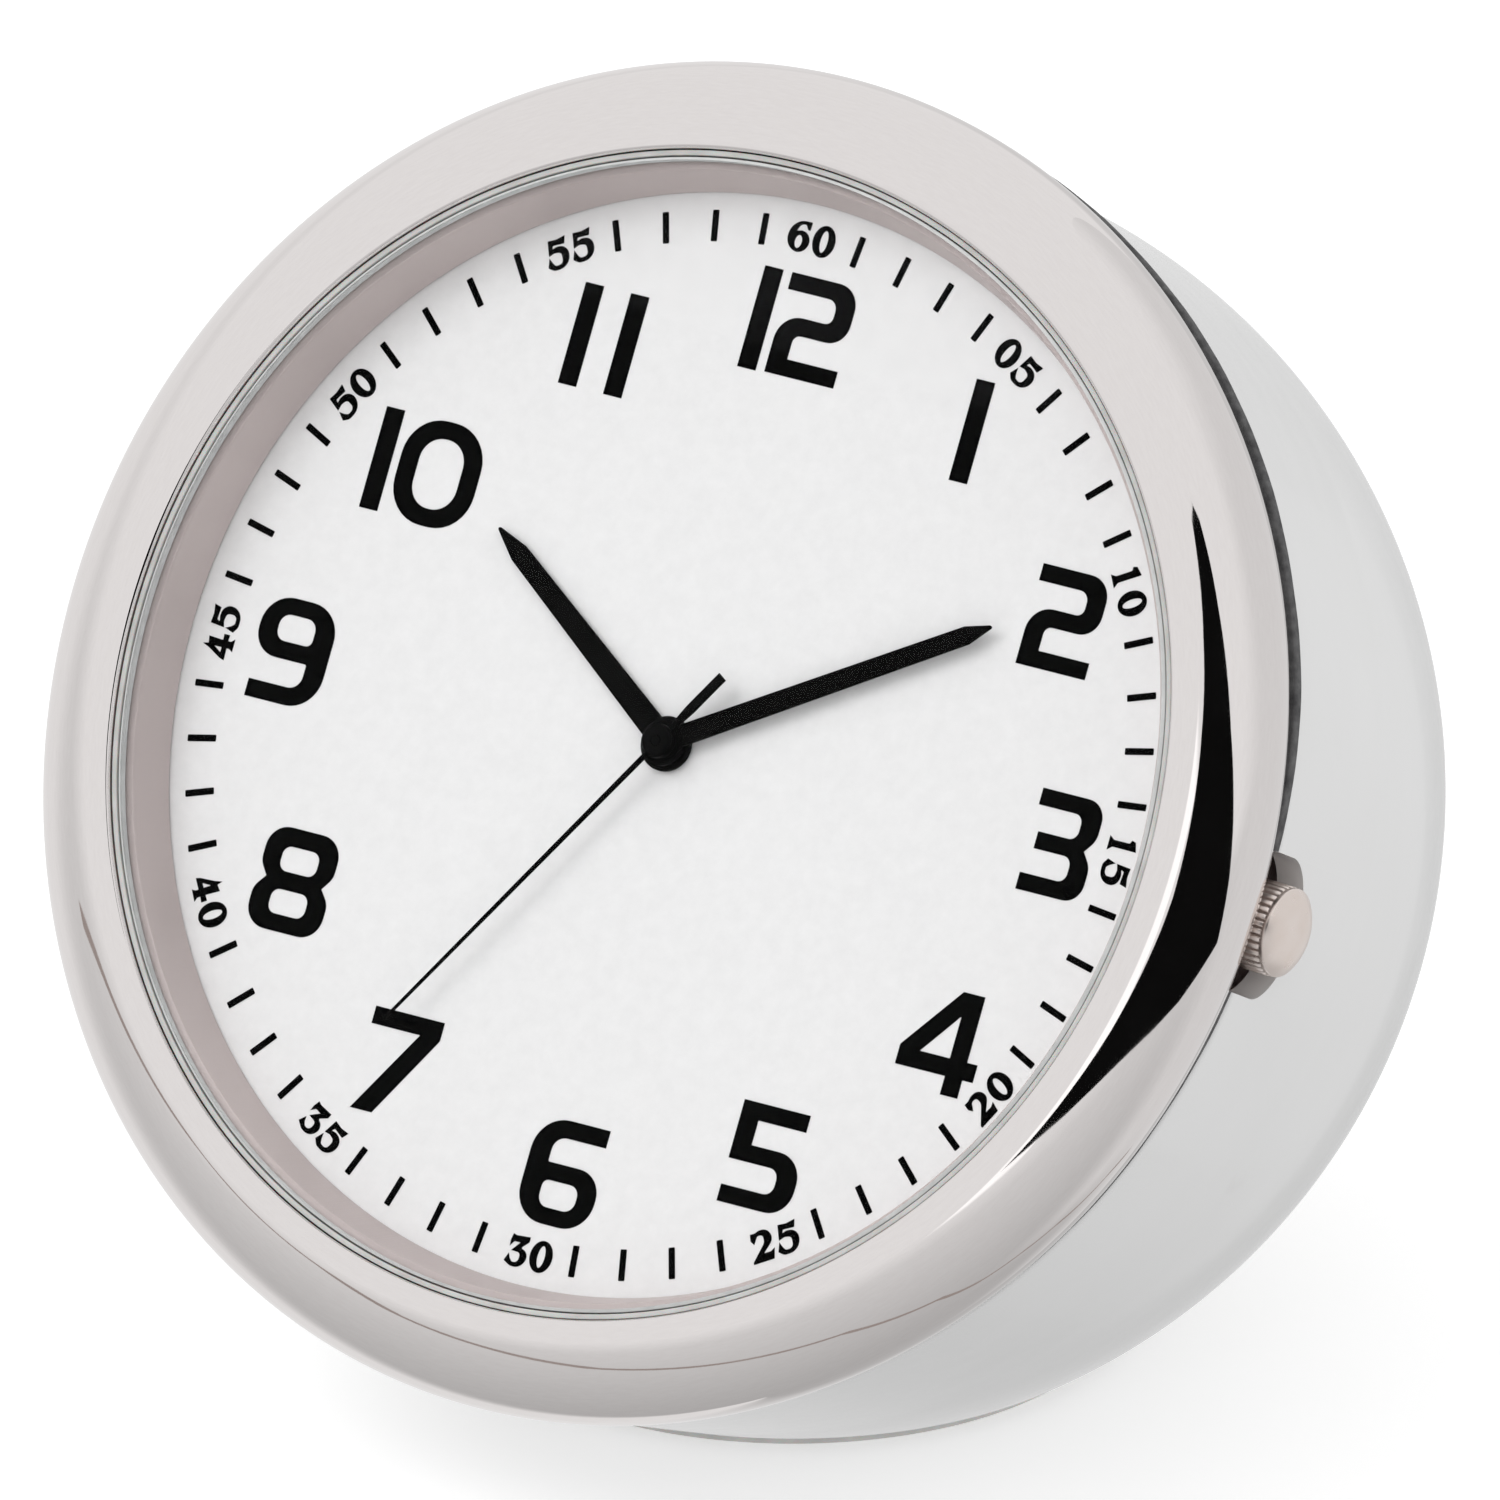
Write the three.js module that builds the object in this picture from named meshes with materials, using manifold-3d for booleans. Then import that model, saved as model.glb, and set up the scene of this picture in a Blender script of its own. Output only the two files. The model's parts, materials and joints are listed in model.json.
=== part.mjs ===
// Ball clock: a round quartz clock head with a polished bezel, held in the open front of a
// glossy plastic ball that stands on a flat foot. Millimetres, +Z up, origin at the centre
// of the foot's underside; the dial faces -Y and leans back, and its 3 o'clock side is +X.
import * as THREE from 'three';
import { mergeVertices } from 'three/addons/utils/BufferGeometryUtils.js';
import Module from 'manifold-3d';

const wasm = await Module();
wasm.setup();

// ---------------------------------------------------------------- driving dimensions
const LEAN = 31.1; // degrees that the dial leans back from upright
const CASE_TURN = 2.1; // degrees that the case and its crown sit clockwise of the printed dial
const BALL_RADIUS = 27.6;
const BALL_HEIGHT = 24; // ball centre above the table
const BALL_DEPTH = 11.35; // ball centre behind the dial face
const SHELL_WALL = 1.3;
const SHELL_FLOOR = 1.6;
const FOOT_RADIUS = 13.9;
const FOOT_THICKNESS = 0.6;

const BEZEL_RADIUS = 29.1;
const BEZEL_BORE = 25;
const BEZEL_WALL = 0.9;
const BEZEL_BACK = -0.6;
const BORE_BACK = -0.2; // where the bore's wall ends behind
const BEZEL_CREST = 3.35;

const DIAL_RADIUS = 24.6;
const DIAL_THICKNESS = 0.4;
const DIAL_VIEW_RADIUS = 23.6; // the part of the dial that the inner ring leaves in sight
const CRYSTAL_RADIUS = 24.65;
const CRYSTAL_FRONT = 3.15;
const CRYSTAL_BACK = 2.35;

const RIM_DEPTH = 1.2; // the ball's rim behind the dial face, on the axis
const RIM_SLOPE = 0.7; // degrees that the rim falls back towards 12 o'clock
const RIM_RADIUS = 28.6;

const CAN_RADIUS = 26;
const CAN_WALL = 0.8;
const CAN_BACK = -8.6;
const BACK_GASKET = 0.5;

const STEM_Z = -3.05; // the winding stem's height, measured from the dial face
const STEM_RADIUS = 0.45;
const STEM_HOLE = 1;
const TUBE_BORE = 0.6;
const TUBE_RADIUS = 0.9;
const CROWN_RADIUS = 1.95;
const CROWN_FACE = 29.6;
const CROWN_BACK = 27.4;
const CROWN_FLUTES = 20;
const NOTCH_WIDTH = 6.2;
const NOTCH_DEPTH = 2.35; // behind the stem

const PLATE_RADIUS = 15;
const PLATE_FRONT = -1.6;
const PLATE_BACK = -2.5;
const PLATE_HOLE_DEPTH = 0.3; // how far a pillar's screw hole stops short of the plate
const BRIDGE_FRONT = -4.9;
const BRIDGE_BACK = -5.4;
const ARBOR_BACK = -5.2;
const ARBOR_FRONT = -2;
const POST_FRONT = -0.7;

const GAP = 0.06; // between pieces that rest on each other
const CLEAR = 60; // longer than the clock, for tools that cut right through
const FINE = 40; // facets round the large rings
const MEDIUM = 24;
const SMALL = 10;

// Tooth counts, each pair as [pinion, wheel]. Rotor to second hand is 30 to 1, second hand
// to centre wheel 60 to 1, and minute hand to hour hand 12 to 1.
const ROTOR_MESH = [6, 36];
const SECONDS_MESH = [6, 30];
const THIRD_MESH = [6, 45];
const CENTRE_MESH = [6, 48];
const MINUTE_MESH = [12, 36];
const HOUR_MESH = [8, 32];
const SETTING_TEETH = 18;

// Where each gear lies along its arbor, as [back, front] from the dial face.
const LEVELS = {
  rotorPinion: [-4.7, -4.3],
  intermediateWheel: [-4.6, -4.35],
  intermediatePinion: [-4.37, -3.7],
  secondsWheel: [-4.05, -3.8],
  secondsPinion: [-3.82, -3.1],
  thirdWheel: [-3.45, -3.2],
  thirdPinion: [-3.22, -2.6],
  centreWheel: [-2.9, -2.65],
  cannonLeaves: [-1.54, -1.24],
  minuteWheel: [-1.52, -1.27],
  minutePinion: [-1.29, -0.8],
  hourWheel: [-1.15, -0.9],
};

// Centre distances of the meshing arbors, and the directions they lie in from each other.
const INTERMEDIATE_DISTANCE = 4.1;
const INTERMEDIATE_ANGLE = 130;
const ROTOR_DISTANCE = 3.4;
const ROTOR_ANGLE = 100;
const THIRD_DISTANCE = 4.1;
const THIRD_ANGLE = -60;
const MINUTE_DISTANCE = 3.8;
const MINUTE_ANGLE = 35;
const SETTING_ANGLE = -15;

// Where the hands stand, in degrees clockwise from 12.
const HOUR_HAND_ANGLE = 304;
const MINUTE_HAND_ANGLE = 59.2;
const SECOND_HAND_ANGLE = 212.6;

// ---------------------------------------------------------------- materials
const finishes = {
  white_gloss: [0xe9e9e8, 0.18, 0],
  black_rubber: [0x3c3d3e, 0.85, 0],
  clear_rubber: [0xc9c9c6, 0.5, 0],
  polished_steel: [0xcfc8c6, 0.12, 1],
  glass: [0xf4f8f8, 0.02, 0],
  grey_satin: [0x9f9493, 0.4, 0.6],
  dial_white: [0xe8e8e7, 0.8, 0],
  black_gloss: [0x0a0a0b, 0.25, 0],
  rose_metal: [0xd9c4b6, 0.2, 1],
  steel: [0xa9abad, 0.35, 1],
  brass: [0xc9a85a, 0.3, 1],
  black_plastic: [0x202123, 0.5, 0],
  natural_plastic: [0xd8d6cc, 0.5, 0],
  copper: [0xb5622f, 0.35, 1],
  board_green: [0x1f5b3a, 0.6, 0],
  magnet: [0x4b4c50, 0.45, 1],
  nylon: [0xece8da, 0.55, 0],
};

const head = new THREE.Group();
const clock = new THREE.Group();

/** Adds one named piece to a group, in one of the finishes above. */
function piece(group, name, finish, geometry) {
  const [color, roughness, metalness] = finishes[finish];
  const mesh = new THREE.Mesh(geometry, new THREE.MeshStandardMaterial({ color, roughness, metalness }));
  mesh.name = name;
  group.add(mesh);
  return mesh;
}

// ---------------------------------------------------------------- shapes
const degrees = THREE.MathUtils.degToRad;

/** A point at a distance and an angle in degrees from another point. */
function polar(distance, angle, from = [0, 0]) {
  const turn = degrees(angle);
  return [from[0] + distance * Math.cos(turn), from[1] + distance * Math.sin(turn)];
}

/** Turns an anticlockwise [radius, z] outline round the Z axis. */
function turned(outline, facets) {
  const points = [...outline];
  const closesOnAxis = points[0][0] === 0 && points.at(-1)[0] === 0;
  if (!closesOnAxis) {
    points.push(points[0]);
  }
  const profile = points.map(([radius, z]) => new THREE.Vector2(radius, z));
  return new THREE.LatheGeometry(profile, facets).rotateX(Math.PI / 2);
}

/** A disc from z0 up to z1 about the point at. */
function disc(radius, z0, z1, facets, at = [0, 0]) {
  const height = z1 - z0;
  const geometry = new THREE.CylinderGeometry(radius, radius, height, facets);
  return geometry.rotateX(Math.PI / 2).translate(at[0], at[1], z0 + height / 2);
}

/** A flat ring with square edges. */
function ring(inner, outer, z0, z1, facets) {
  return turned([[inner, z0], [outer, z0], [outer, z1], [inner, z1]], facets);
}

/** A block between two corners. */
function block(low, high) {
  const size = high.map((value, axis) => value - low[axis]);
  const centre = high.map((value, axis) => (value + low[axis]) / 2);
  return new THREE.BoxGeometry(...size).translate(...centre);
}

/** A long round tool that bores right through at a point. */
function drill(radius, at, facets = SMALL) {
  return disc(radius, -CLEAR, CLEAR, facets, at);
}

/** A flat plate of the given outline from z0 up to z1. */
function plate(outline, z0, z1, holes = []) {
  const shape = new THREE.Shape(outline.map(([x, y]) => new THREE.Vector2(x, y)));
  for (const { at, radius, facets = SMALL } of holes) {
    const rim = Array.from({ length: facets }, (_, i) => polar(radius, (360 * i) / facets, at));
    shape.holes.push(new THREE.Path(rim.map(([x, y]) => new THREE.Vector2(x, y))));
  }
  const extruded = new THREE.ExtrudeGeometry(shape, { depth: z1 - z0, bevelEnabled: false });
  return extruded.translate(0, 0, z0);
}

/** A geometry as a manifold solid. */
function solid(geometry) {
  const bare = geometry.clone();
  bare.deleteAttribute('normal');
  bare.deleteAttribute('uv');
  const merged = mergeVertices(bare, 1e-4);
  const index = merged.index.array;
  const corners = [];
  for (let i = 0; i < index.length; i += 3) {
    const [a, b, c] = index.slice(i, i + 3);
    if (a !== b && b !== c && c !== a) {
      corners.push(a, b, c);
    }
  }
  const vertProperties = new Float32Array(merged.attributes.position.array);
  return new wasm.Manifold(new wasm.Mesh({ numProp: 3, vertProperties, triVerts: new Uint32Array(corners) }));
}

/** A manifold solid as a geometry. */
function geometryOf(manifold) {
  const mesh = manifold.getMesh();
  const geometry = new THREE.BufferGeometry();
  geometry.setAttribute('position', new THREE.BufferAttribute(new Float32Array(mesh.vertProperties), 3));
  geometry.setIndex(new THREE.BufferAttribute(new Uint32Array(mesh.triVerts), 1));
  geometry.computeVertexNormals();
  return geometry;
}

/** The first geometry with all the others joined to it. */
function joined(first, ...others) {
  return geometryOf(others.reduce((sum, other) => sum.add(solid(other)), solid(first)));
}

/** The first geometry with all the others cut away from it. */
function cut(first, ...tools) {
  return geometryOf(tools.reduce((rest, tool) => rest.subtract(solid(tool)), solid(first)));
}

/** What two geometries share. */
function shared(first, second) {
  return geometryOf(solid(first).intersect(solid(second)));
}

/** Lays a geometry that was made along Z along the stem, with its z as the distance from the centre. */
function alongStem(geometry) {
  return geometry.rotateY(Math.PI / 2).translate(0, 0, STEM_Z);
}

// ---------------------------------------------------------------- gears
/** The pitch radii of a [pinion, wheel] pair at a centre distance. */
function pitchRadii([pinion, wheel], distance) {
  return [(distance * pinion) / (pinion + wheel), (distance * wheel) / (pinion + wheel)];
}

/** A flat gear with a tooth centred on toothAngle, and a hole if hole is more than 0. */
function gear(teeth, pitchRadius, [back, front], at, toothAngle, hole = 0) {
  const toothModule = (2 * pitchRadius) / teeth;
  const tip = pitchRadius + 0.7 * toothModule;
  const root = pitchRadius - 0.95 * toothModule;
  const pitch = 360 / teeth;
  const outline = [];
  for (let tooth = 0; tooth < teeth; tooth += 1) {
    const middle = toothAngle + tooth * pitch;
    outline.push(polar(root, middle - 0.25 * pitch, at));
    outline.push(polar(tip, middle - 0.1 * pitch, at));
    outline.push(polar(tip, middle + 0.1 * pitch, at));
    outline.push(polar(root, middle + 0.25 * pitch, at));
  }
  const holes = hole > 0 ? [{ at, radius: hole }] : [];
  return plate(outline, back, front, holes);
}

/** The tooth angle of a gear that shows a gap, not a tooth, in the direction facing. */
function gapTowards(facing, teeth) {
  return facing + 180 / teeth;
}

const INTERMEDIATE_AT = polar(INTERMEDIATE_DISTANCE, INTERMEDIATE_ANGLE);
const ROTOR_AT = polar(ROTOR_DISTANCE, ROTOR_ANGLE, INTERMEDIATE_AT);
const THIRD_AT = polar(THIRD_DISTANCE, THIRD_ANGLE);
const ARBORS = [INTERMEDIATE_AT, ROTOR_AT, THIRD_AT];
const MINUTE_AT = polar(MINUTE_DISTANCE, MINUTE_ANGLE);
const MINUTE_WHEEL_RADIUS = pitchRadii(MINUTE_MESH, MINUTE_DISTANCE)[1];
const SETTING_RADIUS = (MINUTE_WHEEL_RADIUS * SETTING_TEETH) / MINUTE_MESH[1];
const SETTING_AT = polar(MINUTE_WHEEL_RADIUS + SETTING_RADIUS, SETTING_ANGLE, MINUTE_AT);

const ARBOR_RADIUS = 0.2;
const PIVOT_HOLE = 0.27;
const CANNON_RADIUS = 0.5;
const CANNON_BORE = 0.28;
const HOUR_PIPE_RADIUS = 0.78;
const HOUR_PIPE_BORE = 0.56;
// Heights above the dial face: each hand's underside, and the end of the pipe or arbor that carries it.
const HOUR_HAND_Z = 0.2;
const HOUR_PIPE_END = 0.42;
const MINUTE_HAND_Z = 0.55;
const CANNON_END = 0.77;
const SECOND_HAND_Z = 0.9;
const SECONDS_ARBOR_END = 1.05;
const HAND_PLATE = 0.15;

// ---------------------------------------------------------------- the ball and its foot
head.rotation.set(degrees(90 - LEAN), 0, degrees(-CASE_TURN));
head.position.y = -BALL_DEPTH * Math.cos(degrees(LEAN));
head.position.z = BALL_HEIGHT + BALL_DEPTH * Math.sin(degrees(LEAN));
head.updateMatrix();

/** A geometry in the head's frame, moved into the frame of the whole clock. */
function inClockFrame(geometry) {
  return geometry.applyMatrix4(head.matrix);
}

/** The ball and its straight, drafted collar as an outline that runs on past the rim, shrunk by inset. */
function ballOutline(inset) {
  const radius = BALL_RADIUS - inset;
  const steps = 9;
  const back = Array.from({ length: steps + 1 }, (_, i) => {
    const turn = (i / steps - 1) * (Math.PI / 2);
    return [i === 0 ? 0 : radius * Math.cos(turn), -BALL_DEPTH + radius * Math.sin(turn)];
  });
  const draft = (RIM_RADIUS - BALL_RADIUS) / (BALL_DEPTH - RIM_DEPTH);
  const front = BEZEL_CREST + inset;
  return [...back, [radius + draft * (BALL_DEPTH + front), front], [0, front]];
}

/** Everything ahead of (side 1) or behind (side -1) the ball's sloping rim, moved forward by shift. */
function besideRim(side, shift = 0) {
  const half = new THREE.BoxGeometry(2 * CLEAR, 2 * CLEAR, CLEAR).translate(0, 0, (side * CLEAR) / 2);
  return half.rotateX(degrees(-RIM_SLOPE)).translate(0, 0, -RIM_DEPTH + shift);
}

/** The U-shaped notch that the crown comes out through, open at the rim. */
function crownNotch() {
  const inner = 22;
  const outer = 34;
  const half = NOTCH_WIDTH / 2;
  const bottom = disc(half, inner, outer, MEDIUM).scale(NOTCH_DEPTH / half, 1, 1);
  const mouth = block([inner, -half, STEM_Z], [outer, half, CLEAR]);
  return joined(alongStem(bottom), mouth);
}

function bodyShell() {
  const footTop = FOOT_THICKNESS + GAP;
  const hollow = inClockFrame(turned(ballOutline(SHELL_WALL), FINE));
  const aboveFloor = block([-CLEAR, -CLEAR, footTop + SHELL_FLOOR], [CLEAR, CLEAR, CLEAR]);
  return cut(
    inClockFrame(turned(ballOutline(0), FINE)),
    shared(hollow, aboveFloor),
    inClockFrame(besideRim(1)),
    inClockFrame(crownNotch()),
    block([-CLEAR, -CLEAR, -CLEAR], [CLEAR, CLEAR, footTop]),
  );
}

/** The soft ring squeezed between bezel and ball: it follows the rim and stands a little high. */
function rimGasket() {
  const inner = CAN_RADIUS + 0.6;
  const outer = RIM_RADIUS + 0.25;
  const rise = 0.2;
  const blank = ring(inner, outer, -2 * RIM_DEPTH, BEZEL_BACK - GAP, FINE).translate(0, rise, 0);
  return cut(blank, besideRim(-1, GAP), crownNotch());
}

piece(clock, 'body_shell', 'white_gloss', bodyShell());
piece(clock, 'foot_pad', 'clear_rubber', disc(FOOT_RADIUS, 0, FOOT_THICKNESS, FINE));
piece(head, 'rim_gasket', 'black_rubber', rimGasket());

// ---------------------------------------------------------------- bezel, glass and case
/** A quarter of an ellipse in the [radius, z] plane, from its side up to its top. */
function quarter(centre, across, up, steps) {
  return Array.from({ length: steps + 1 }, (_, i) => {
    const turn = (Math.PI / 2) * (i / steps);
    return [centre[0] + across * Math.cos(turn), centre[1] + up * Math.sin(turn)];
  });
}

/** A domed pressing, hollow behind, with a rolled outer edge and a straight bore. */
function bezel() {
  const domeCentre = [BEZEL_BORE + 0.75, 0.95];
  const across = BEZEL_RADIUS - domeCentre[0];
  const up = BEZEL_CREST - domeCentre[1];
  const hollow = quarter(domeCentre, across - BEZEL_WALL, up - BEZEL_WALL, 3);
  const inside = BEZEL_RADIUS - BEZEL_WALL;
  const tuck = 0.35; // how far the side draws in towards the back
  return turned([
    [BEZEL_BORE, BORE_BACK],
    [BEZEL_BORE + BEZEL_WALL, BORE_BACK],
    ...hollow.slice(1, -1).reverse(),
    [inside, domeCentre[1]],
    [inside, BEZEL_BACK],
    [BEZEL_RADIUS - tuck, BEZEL_BACK],
    [BEZEL_RADIUS - tuck / 3, BEZEL_BACK / 6],
    ...quarter(domeCentre, across, up, 6),
    [BEZEL_BORE + 0.2, BEZEL_CREST - 0.1],
    [BEZEL_BORE, BEZEL_CREST - 0.3],
  ], FINE);
}

/** The inner ring between dial and glass: a slightly flared wall. */
function rehautRing() {
  const foot = GAP;
  const top = CRYSTAL_BACK - GAP;
  const outer = BEZEL_BORE - 0.1;
  const topInner = DIAL_VIEW_RADIUS + 0.6;
  return turned([[DIAL_VIEW_RADIUS, foot], [outer, foot], [outer, top], [topInner, top]], FINE);
}

/** The can: a tube with a flange that closes the hollow behind the bezel. */
function caseCan() {
  const inner = CAN_RADIUS - CAN_WALL;
  const flange = BEZEL_RADIUS - BEZEL_WALL - 0.1;
  const flangeFront = BORE_BACK - GAP;
  const body = turned([
    [inner, CAN_BACK],
    [CAN_RADIUS, CAN_BACK],
    [CAN_RADIUS, BEZEL_BACK],
    [flange, BEZEL_BACK],
    [flange, flangeFront],
    [inner, flangeFront],
  ], FINE);
  return cut(body, alongStem(disc(STEM_HOLE, inner - 1, CAN_RADIUS + 1, SMALL)));
}

function caseBack() {
  const plateFront = CAN_BACK - BACK_GASKET;
  const plateBack = plateFront - 0.8;
  const edge = 0.3;
  const spigot = CAN_RADIUS - CAN_WALL - 0.1;
  const spigotFront = CAN_BACK + 0.4;
  return turned([
    [0, plateBack],
    [CAN_RADIUS - edge, plateBack],
    [CAN_RADIUS, plateBack + edge],
    [CAN_RADIUS, plateFront],
    [spigot, plateFront],
    [spigot, spigotFront],
    [0, spigotFront],
  ], FINE);
}

/** The ring that holds the movement in the can. */
function movementHolder() {
  const front = -DIAL_THICKNESS - GAP;
  const wall = 1.2;
  const inner = PLATE_RADIUS + 0.2;
  const outer = CAN_RADIUS - CAN_WALL - 0.15;
  const collarBack = BRIDGE_BACK - 0.4;
  const skirtBack = CAN_BACK + 0.5;
  const blank = turned([
    [inner, collarBack],
    [inner + wall, collarBack],
    [inner + wall, front - wall],
    [outer - wall, front - wall],
    [outer - wall, skirtBack],
    [outer, skirtBack],
    [outer, front],
    [inner, front],
  ], FINE);
  return cut(blank, alongStem(disc(TUBE_BORE + 0.1, PLATE_RADIUS - 1, CAN_RADIUS, SMALL)));
}

const DIAL_FEET = [polar(13.5, 160), polar(13.5, -20)];
const DIAL_FOOT_RADIUS = 0.35;

/** The printed dial with its two feet, which locate it on the main plate. */
function dial() {
  const back = -DIAL_THICKNESS;
  const centreHole = 1;
  const face = ring(centreHole, DIAL_RADIUS, back, 0, FINE);
  const feet = DIAL_FEET.map((at) => disc(DIAL_FOOT_RADIUS, PLATE_BACK + 0.3, back + 0.1, SMALL, at));
  return joined(face, ...feet);
}

piece(head, 'bezel', 'polished_steel', bezel());
piece(head, 'crystal', 'glass', disc(CRYSTAL_RADIUS, CRYSTAL_BACK, CRYSTAL_FRONT, FINE));
piece(head, 'crystal_gasket', 'clear_rubber',
  ring(CRYSTAL_RADIUS + 0.08, BEZEL_BORE - 0.05, CRYSTAL_BACK, CRYSTAL_FRONT - 0.05, FINE));
piece(head, 'rehaut_ring', 'grey_satin', rehautRing());
piece(head, 'dial', 'dial_white', dial());
piece(head, 'movement_holder', 'natural_plastic', movementHolder());
piece(head, 'case_can', 'grey_satin', caseCan());
piece(head, 'case_back', 'steel', caseBack());
piece(head, 'back_gasket', 'black_rubber',
  ring(CAN_RADIUS - CAN_WALL, CAN_RADIUS, CAN_BACK - BACK_GASKET + GAP, CAN_BACK - GAP, FINE));
piece(head, 'stem_tube', 'brass',
  alongStem(ring(TUBE_BORE, TUBE_RADIUS, CAN_RADIUS - CAN_WALL - 0.05, CAN_RADIUS + 1, SMALL)));

// ---------------------------------------------------------------- movement frame
const PILLARS = [[10.5, 7.5], [-11.5, 6], [8.5, -5.5]];
const COIL_SCREWS = [[-6.8, 10.4], [4.8, 10.4]];
const BATTERY_AT = [-7.6, -5.2];
const BATTERY_RADIUS = 3.4;
const BATTERY_BACK = -5.2;
const STRAP_SCREW_AT = [-12.6, -1.6];
const STRAP_BACK = BATTERY_BACK - GAP - 0.25;
const BOARD_CORNERS = [[-3.2, -12], [8.4, -8]];
const LEVER_AT = [12.8, 3.6];
const LEVER_POST_RADIUS = 0.3;
const SCREW_RADIUS = 0.4;
const SCREW_HEAD_RADIUS = 0.8;
const SCREW_HEAD_HEIGHT = 0.4;
const PILLAR_RADIUS = 1;
const STATOR_BACK = -3.6;
const STATOR_FRONT = -3.25;
const CORE_BACK = -4.05;
const COIL_Y = 10.4;
const MAGNET_RADIUS = 0.85;
const BOARD_BACK = -3.1;
const JOIN = 0.1; // how far two shapes that become one run into each other

/** A pillar on the back of the main plate, drilled for a screw. */
function pillar(at, back) {
  const post = disc(PILLAR_RADIUS, back, PLATE_BACK + JOIN, SMALL, at);
  return cut(post, disc(SCREW_RADIUS + 0.08, back - 1, PLATE_BACK - PLATE_HOLE_DEPTH, SMALL, at));
}

function mainPlate() {
  const cannonHole = drill(CANNON_RADIUS + 0.1, [0, 0]);
  const pivotHoles = ARBORS.map((at) => drill(PIVOT_HOLE, at));
  const footHoles = DIAL_FEET.map((at) => drill(DIAL_FOOT_RADIUS + 0.07, at));
  const stemSlot = block([7.2, -1.1, -CLEAR], [11.6, 1.1, CLEAR]);
  const blank = disc(PLATE_RADIUS, PLATE_BACK, PLATE_FRONT, MEDIUM);
  const postBack = PLATE_FRONT - JOIN;
  const posts = [MINUTE_AT, SETTING_AT].map((at) => disc(ARBOR_RADIUS, postBack, POST_FRONT, SMALL, at));
  const leverPost = disc(LEVER_POST_RADIUS, -4.4, PLATE_BACK + JOIN, SMALL, LEVER_AT);
  const bridgePillars = PILLARS.map((at) => pillar(at, BRIDGE_FRONT + GAP));
  const coilPillars = COIL_SCREWS.map((at) => pillar(at, STATOR_FRONT + GAP));
  const strapPillar = pillar(STRAP_SCREW_AT, BATTERY_BACK);
  return joined(
    cut(blank, cannonHole, ...pivotHoles, ...footHoles, stemSlot),
    ...posts,
    leverPost,
    ...bridgePillars,
    ...coilPillars,
    strapPillar,
  );
}

/** The bridge that carries the wheels' back pivots; it leaves the battery and the board free. */
function trainBridge() {
  const pivotHoles = [[0, 0], ...ARBORS].map((at) => drill(PIVOT_HOLE, at));
  const screwHoles = PILLARS.map((at) => drill(SCREW_RADIUS + 0.05, at));
  const batteryBay = drill(BATTERY_RADIUS + 0.6, BATTERY_AT, MEDIUM);
  const lowerBay = block([-CLEAR, -CLEAR, -CLEAR], [CLEAR, BOARD_CORNERS[1][1] + 0.4, CLEAR]);
  const leftBay = block([-CLEAR, -CLEAR, -CLEAR], [BATTERY_AT[0], 3.6, CLEAR]);
  const blank = disc(PLATE_RADIUS - 0.2, BRIDGE_BACK, BRIDGE_FRONT, MEDIUM);
  return cut(blank, ...pivotHoles, ...screwHoles, batteryBay, lowerBay, leftBay);
}

/** A cheese-head screw whose head stands behind z. */
function screw(at, z, length) {
  const [x, y] = at;
  const slotDepth = 0.18;
  const slotFront = z - SCREW_HEAD_HEIGHT + slotDepth;
  const screwHead = disc(SCREW_HEAD_RADIUS, z - SCREW_HEAD_HEIGHT, z, SMALL, at);
  const shank = disc(SCREW_RADIUS, z - JOIN, z + length, SMALL, at);
  const slot = block([x - 1, y - 0.1, -CLEAR], [x + 1, y + 0.1, slotFront]);
  return cut(joined(screwHead, shank), slot);
}

piece(head, 'main_plate', 'black_plastic', mainPlate());
piece(head, 'train_bridge', 'steel', trainBridge());
PILLARS.forEach((at, i) => {
  piece(head, `bridge_screw_${i + 1}`, 'steel', screw(at, BRIDGE_BACK - GAP, 2.2));
});

// ---------------------------------------------------------------- electrics
function stator() {
  const outline = [
    [-7.6, 4.7], [5.6, 4.7], [5.6, 11.2], [4, 11.2], [4, 8.1], [-6, 8.1], [-6, 11.2], [-7.6, 11.2],
  ];
  const screwHoles = COIL_SCREWS.map((at) => ({ at, radius: SCREW_RADIUS + 0.05 }));
  const rotorHole = { at: ROTOR_AT, radius: MAGNET_RADIUS + 0.25, facets: 16 };
  return plate(outline, STATOR_BACK, STATOR_FRONT, [rotorHole, ...screwHoles]);
}

/** The winding: a thick tube lying along X, round the core. */
function coil() {
  const length = 9.4;
  const winding = ring(0.65, 1, -length / 2, length / 2, 16);
  const middle = (COIL_SCREWS[0][0] + COIL_SCREWS[1][0]) / 2;
  return winding.rotateY(Math.PI / 2).translate(middle, COIL_Y, (STATOR_BACK - GAP + CORE_BACK) / 2);
}

/** The iron core: a thin bar between two square ears for the screws. */
function coilCore() {
  const back = CORE_BACK;
  const front = STATOR_BACK - GAP;
  const [left, right] = COIL_SCREWS;
  const ears = COIL_SCREWS.map(([x, y]) => block([x - 0.85, y - 0.8, back], [x + 0.85, y + 0.8, front]));
  const bar = block([left[0], COIL_Y - 0.45, back], [right[0], COIL_Y + 0.45, front]);
  return cut(joined(bar, ...ears), ...COIL_SCREWS.map((at) => drill(SCREW_RADIUS + 0.05, at)));
}

/** The clamp that holds the battery and joins its positive side to the plate. */
function batteryStrap() {
  const [x, y] = STRAP_SCREW_AT;
  const tip = [BATTERY_AT[0] + 2.6, BATTERY_AT[1] - 1.4];
  const outline = [
    [x - 0.9, y - 1], [x + 0.9, y - 1], tip, [tip[0] + 0.6, tip[1] + 1.2], [x + 0.9, y + 1], [x - 0.9, y + 1],
  ];
  const hole = { at: STRAP_SCREW_AT, radius: SCREW_RADIUS + 0.05 };
  return plate(outline, STRAP_BACK, BATTERY_BACK - GAP, [hole]);
}

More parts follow.
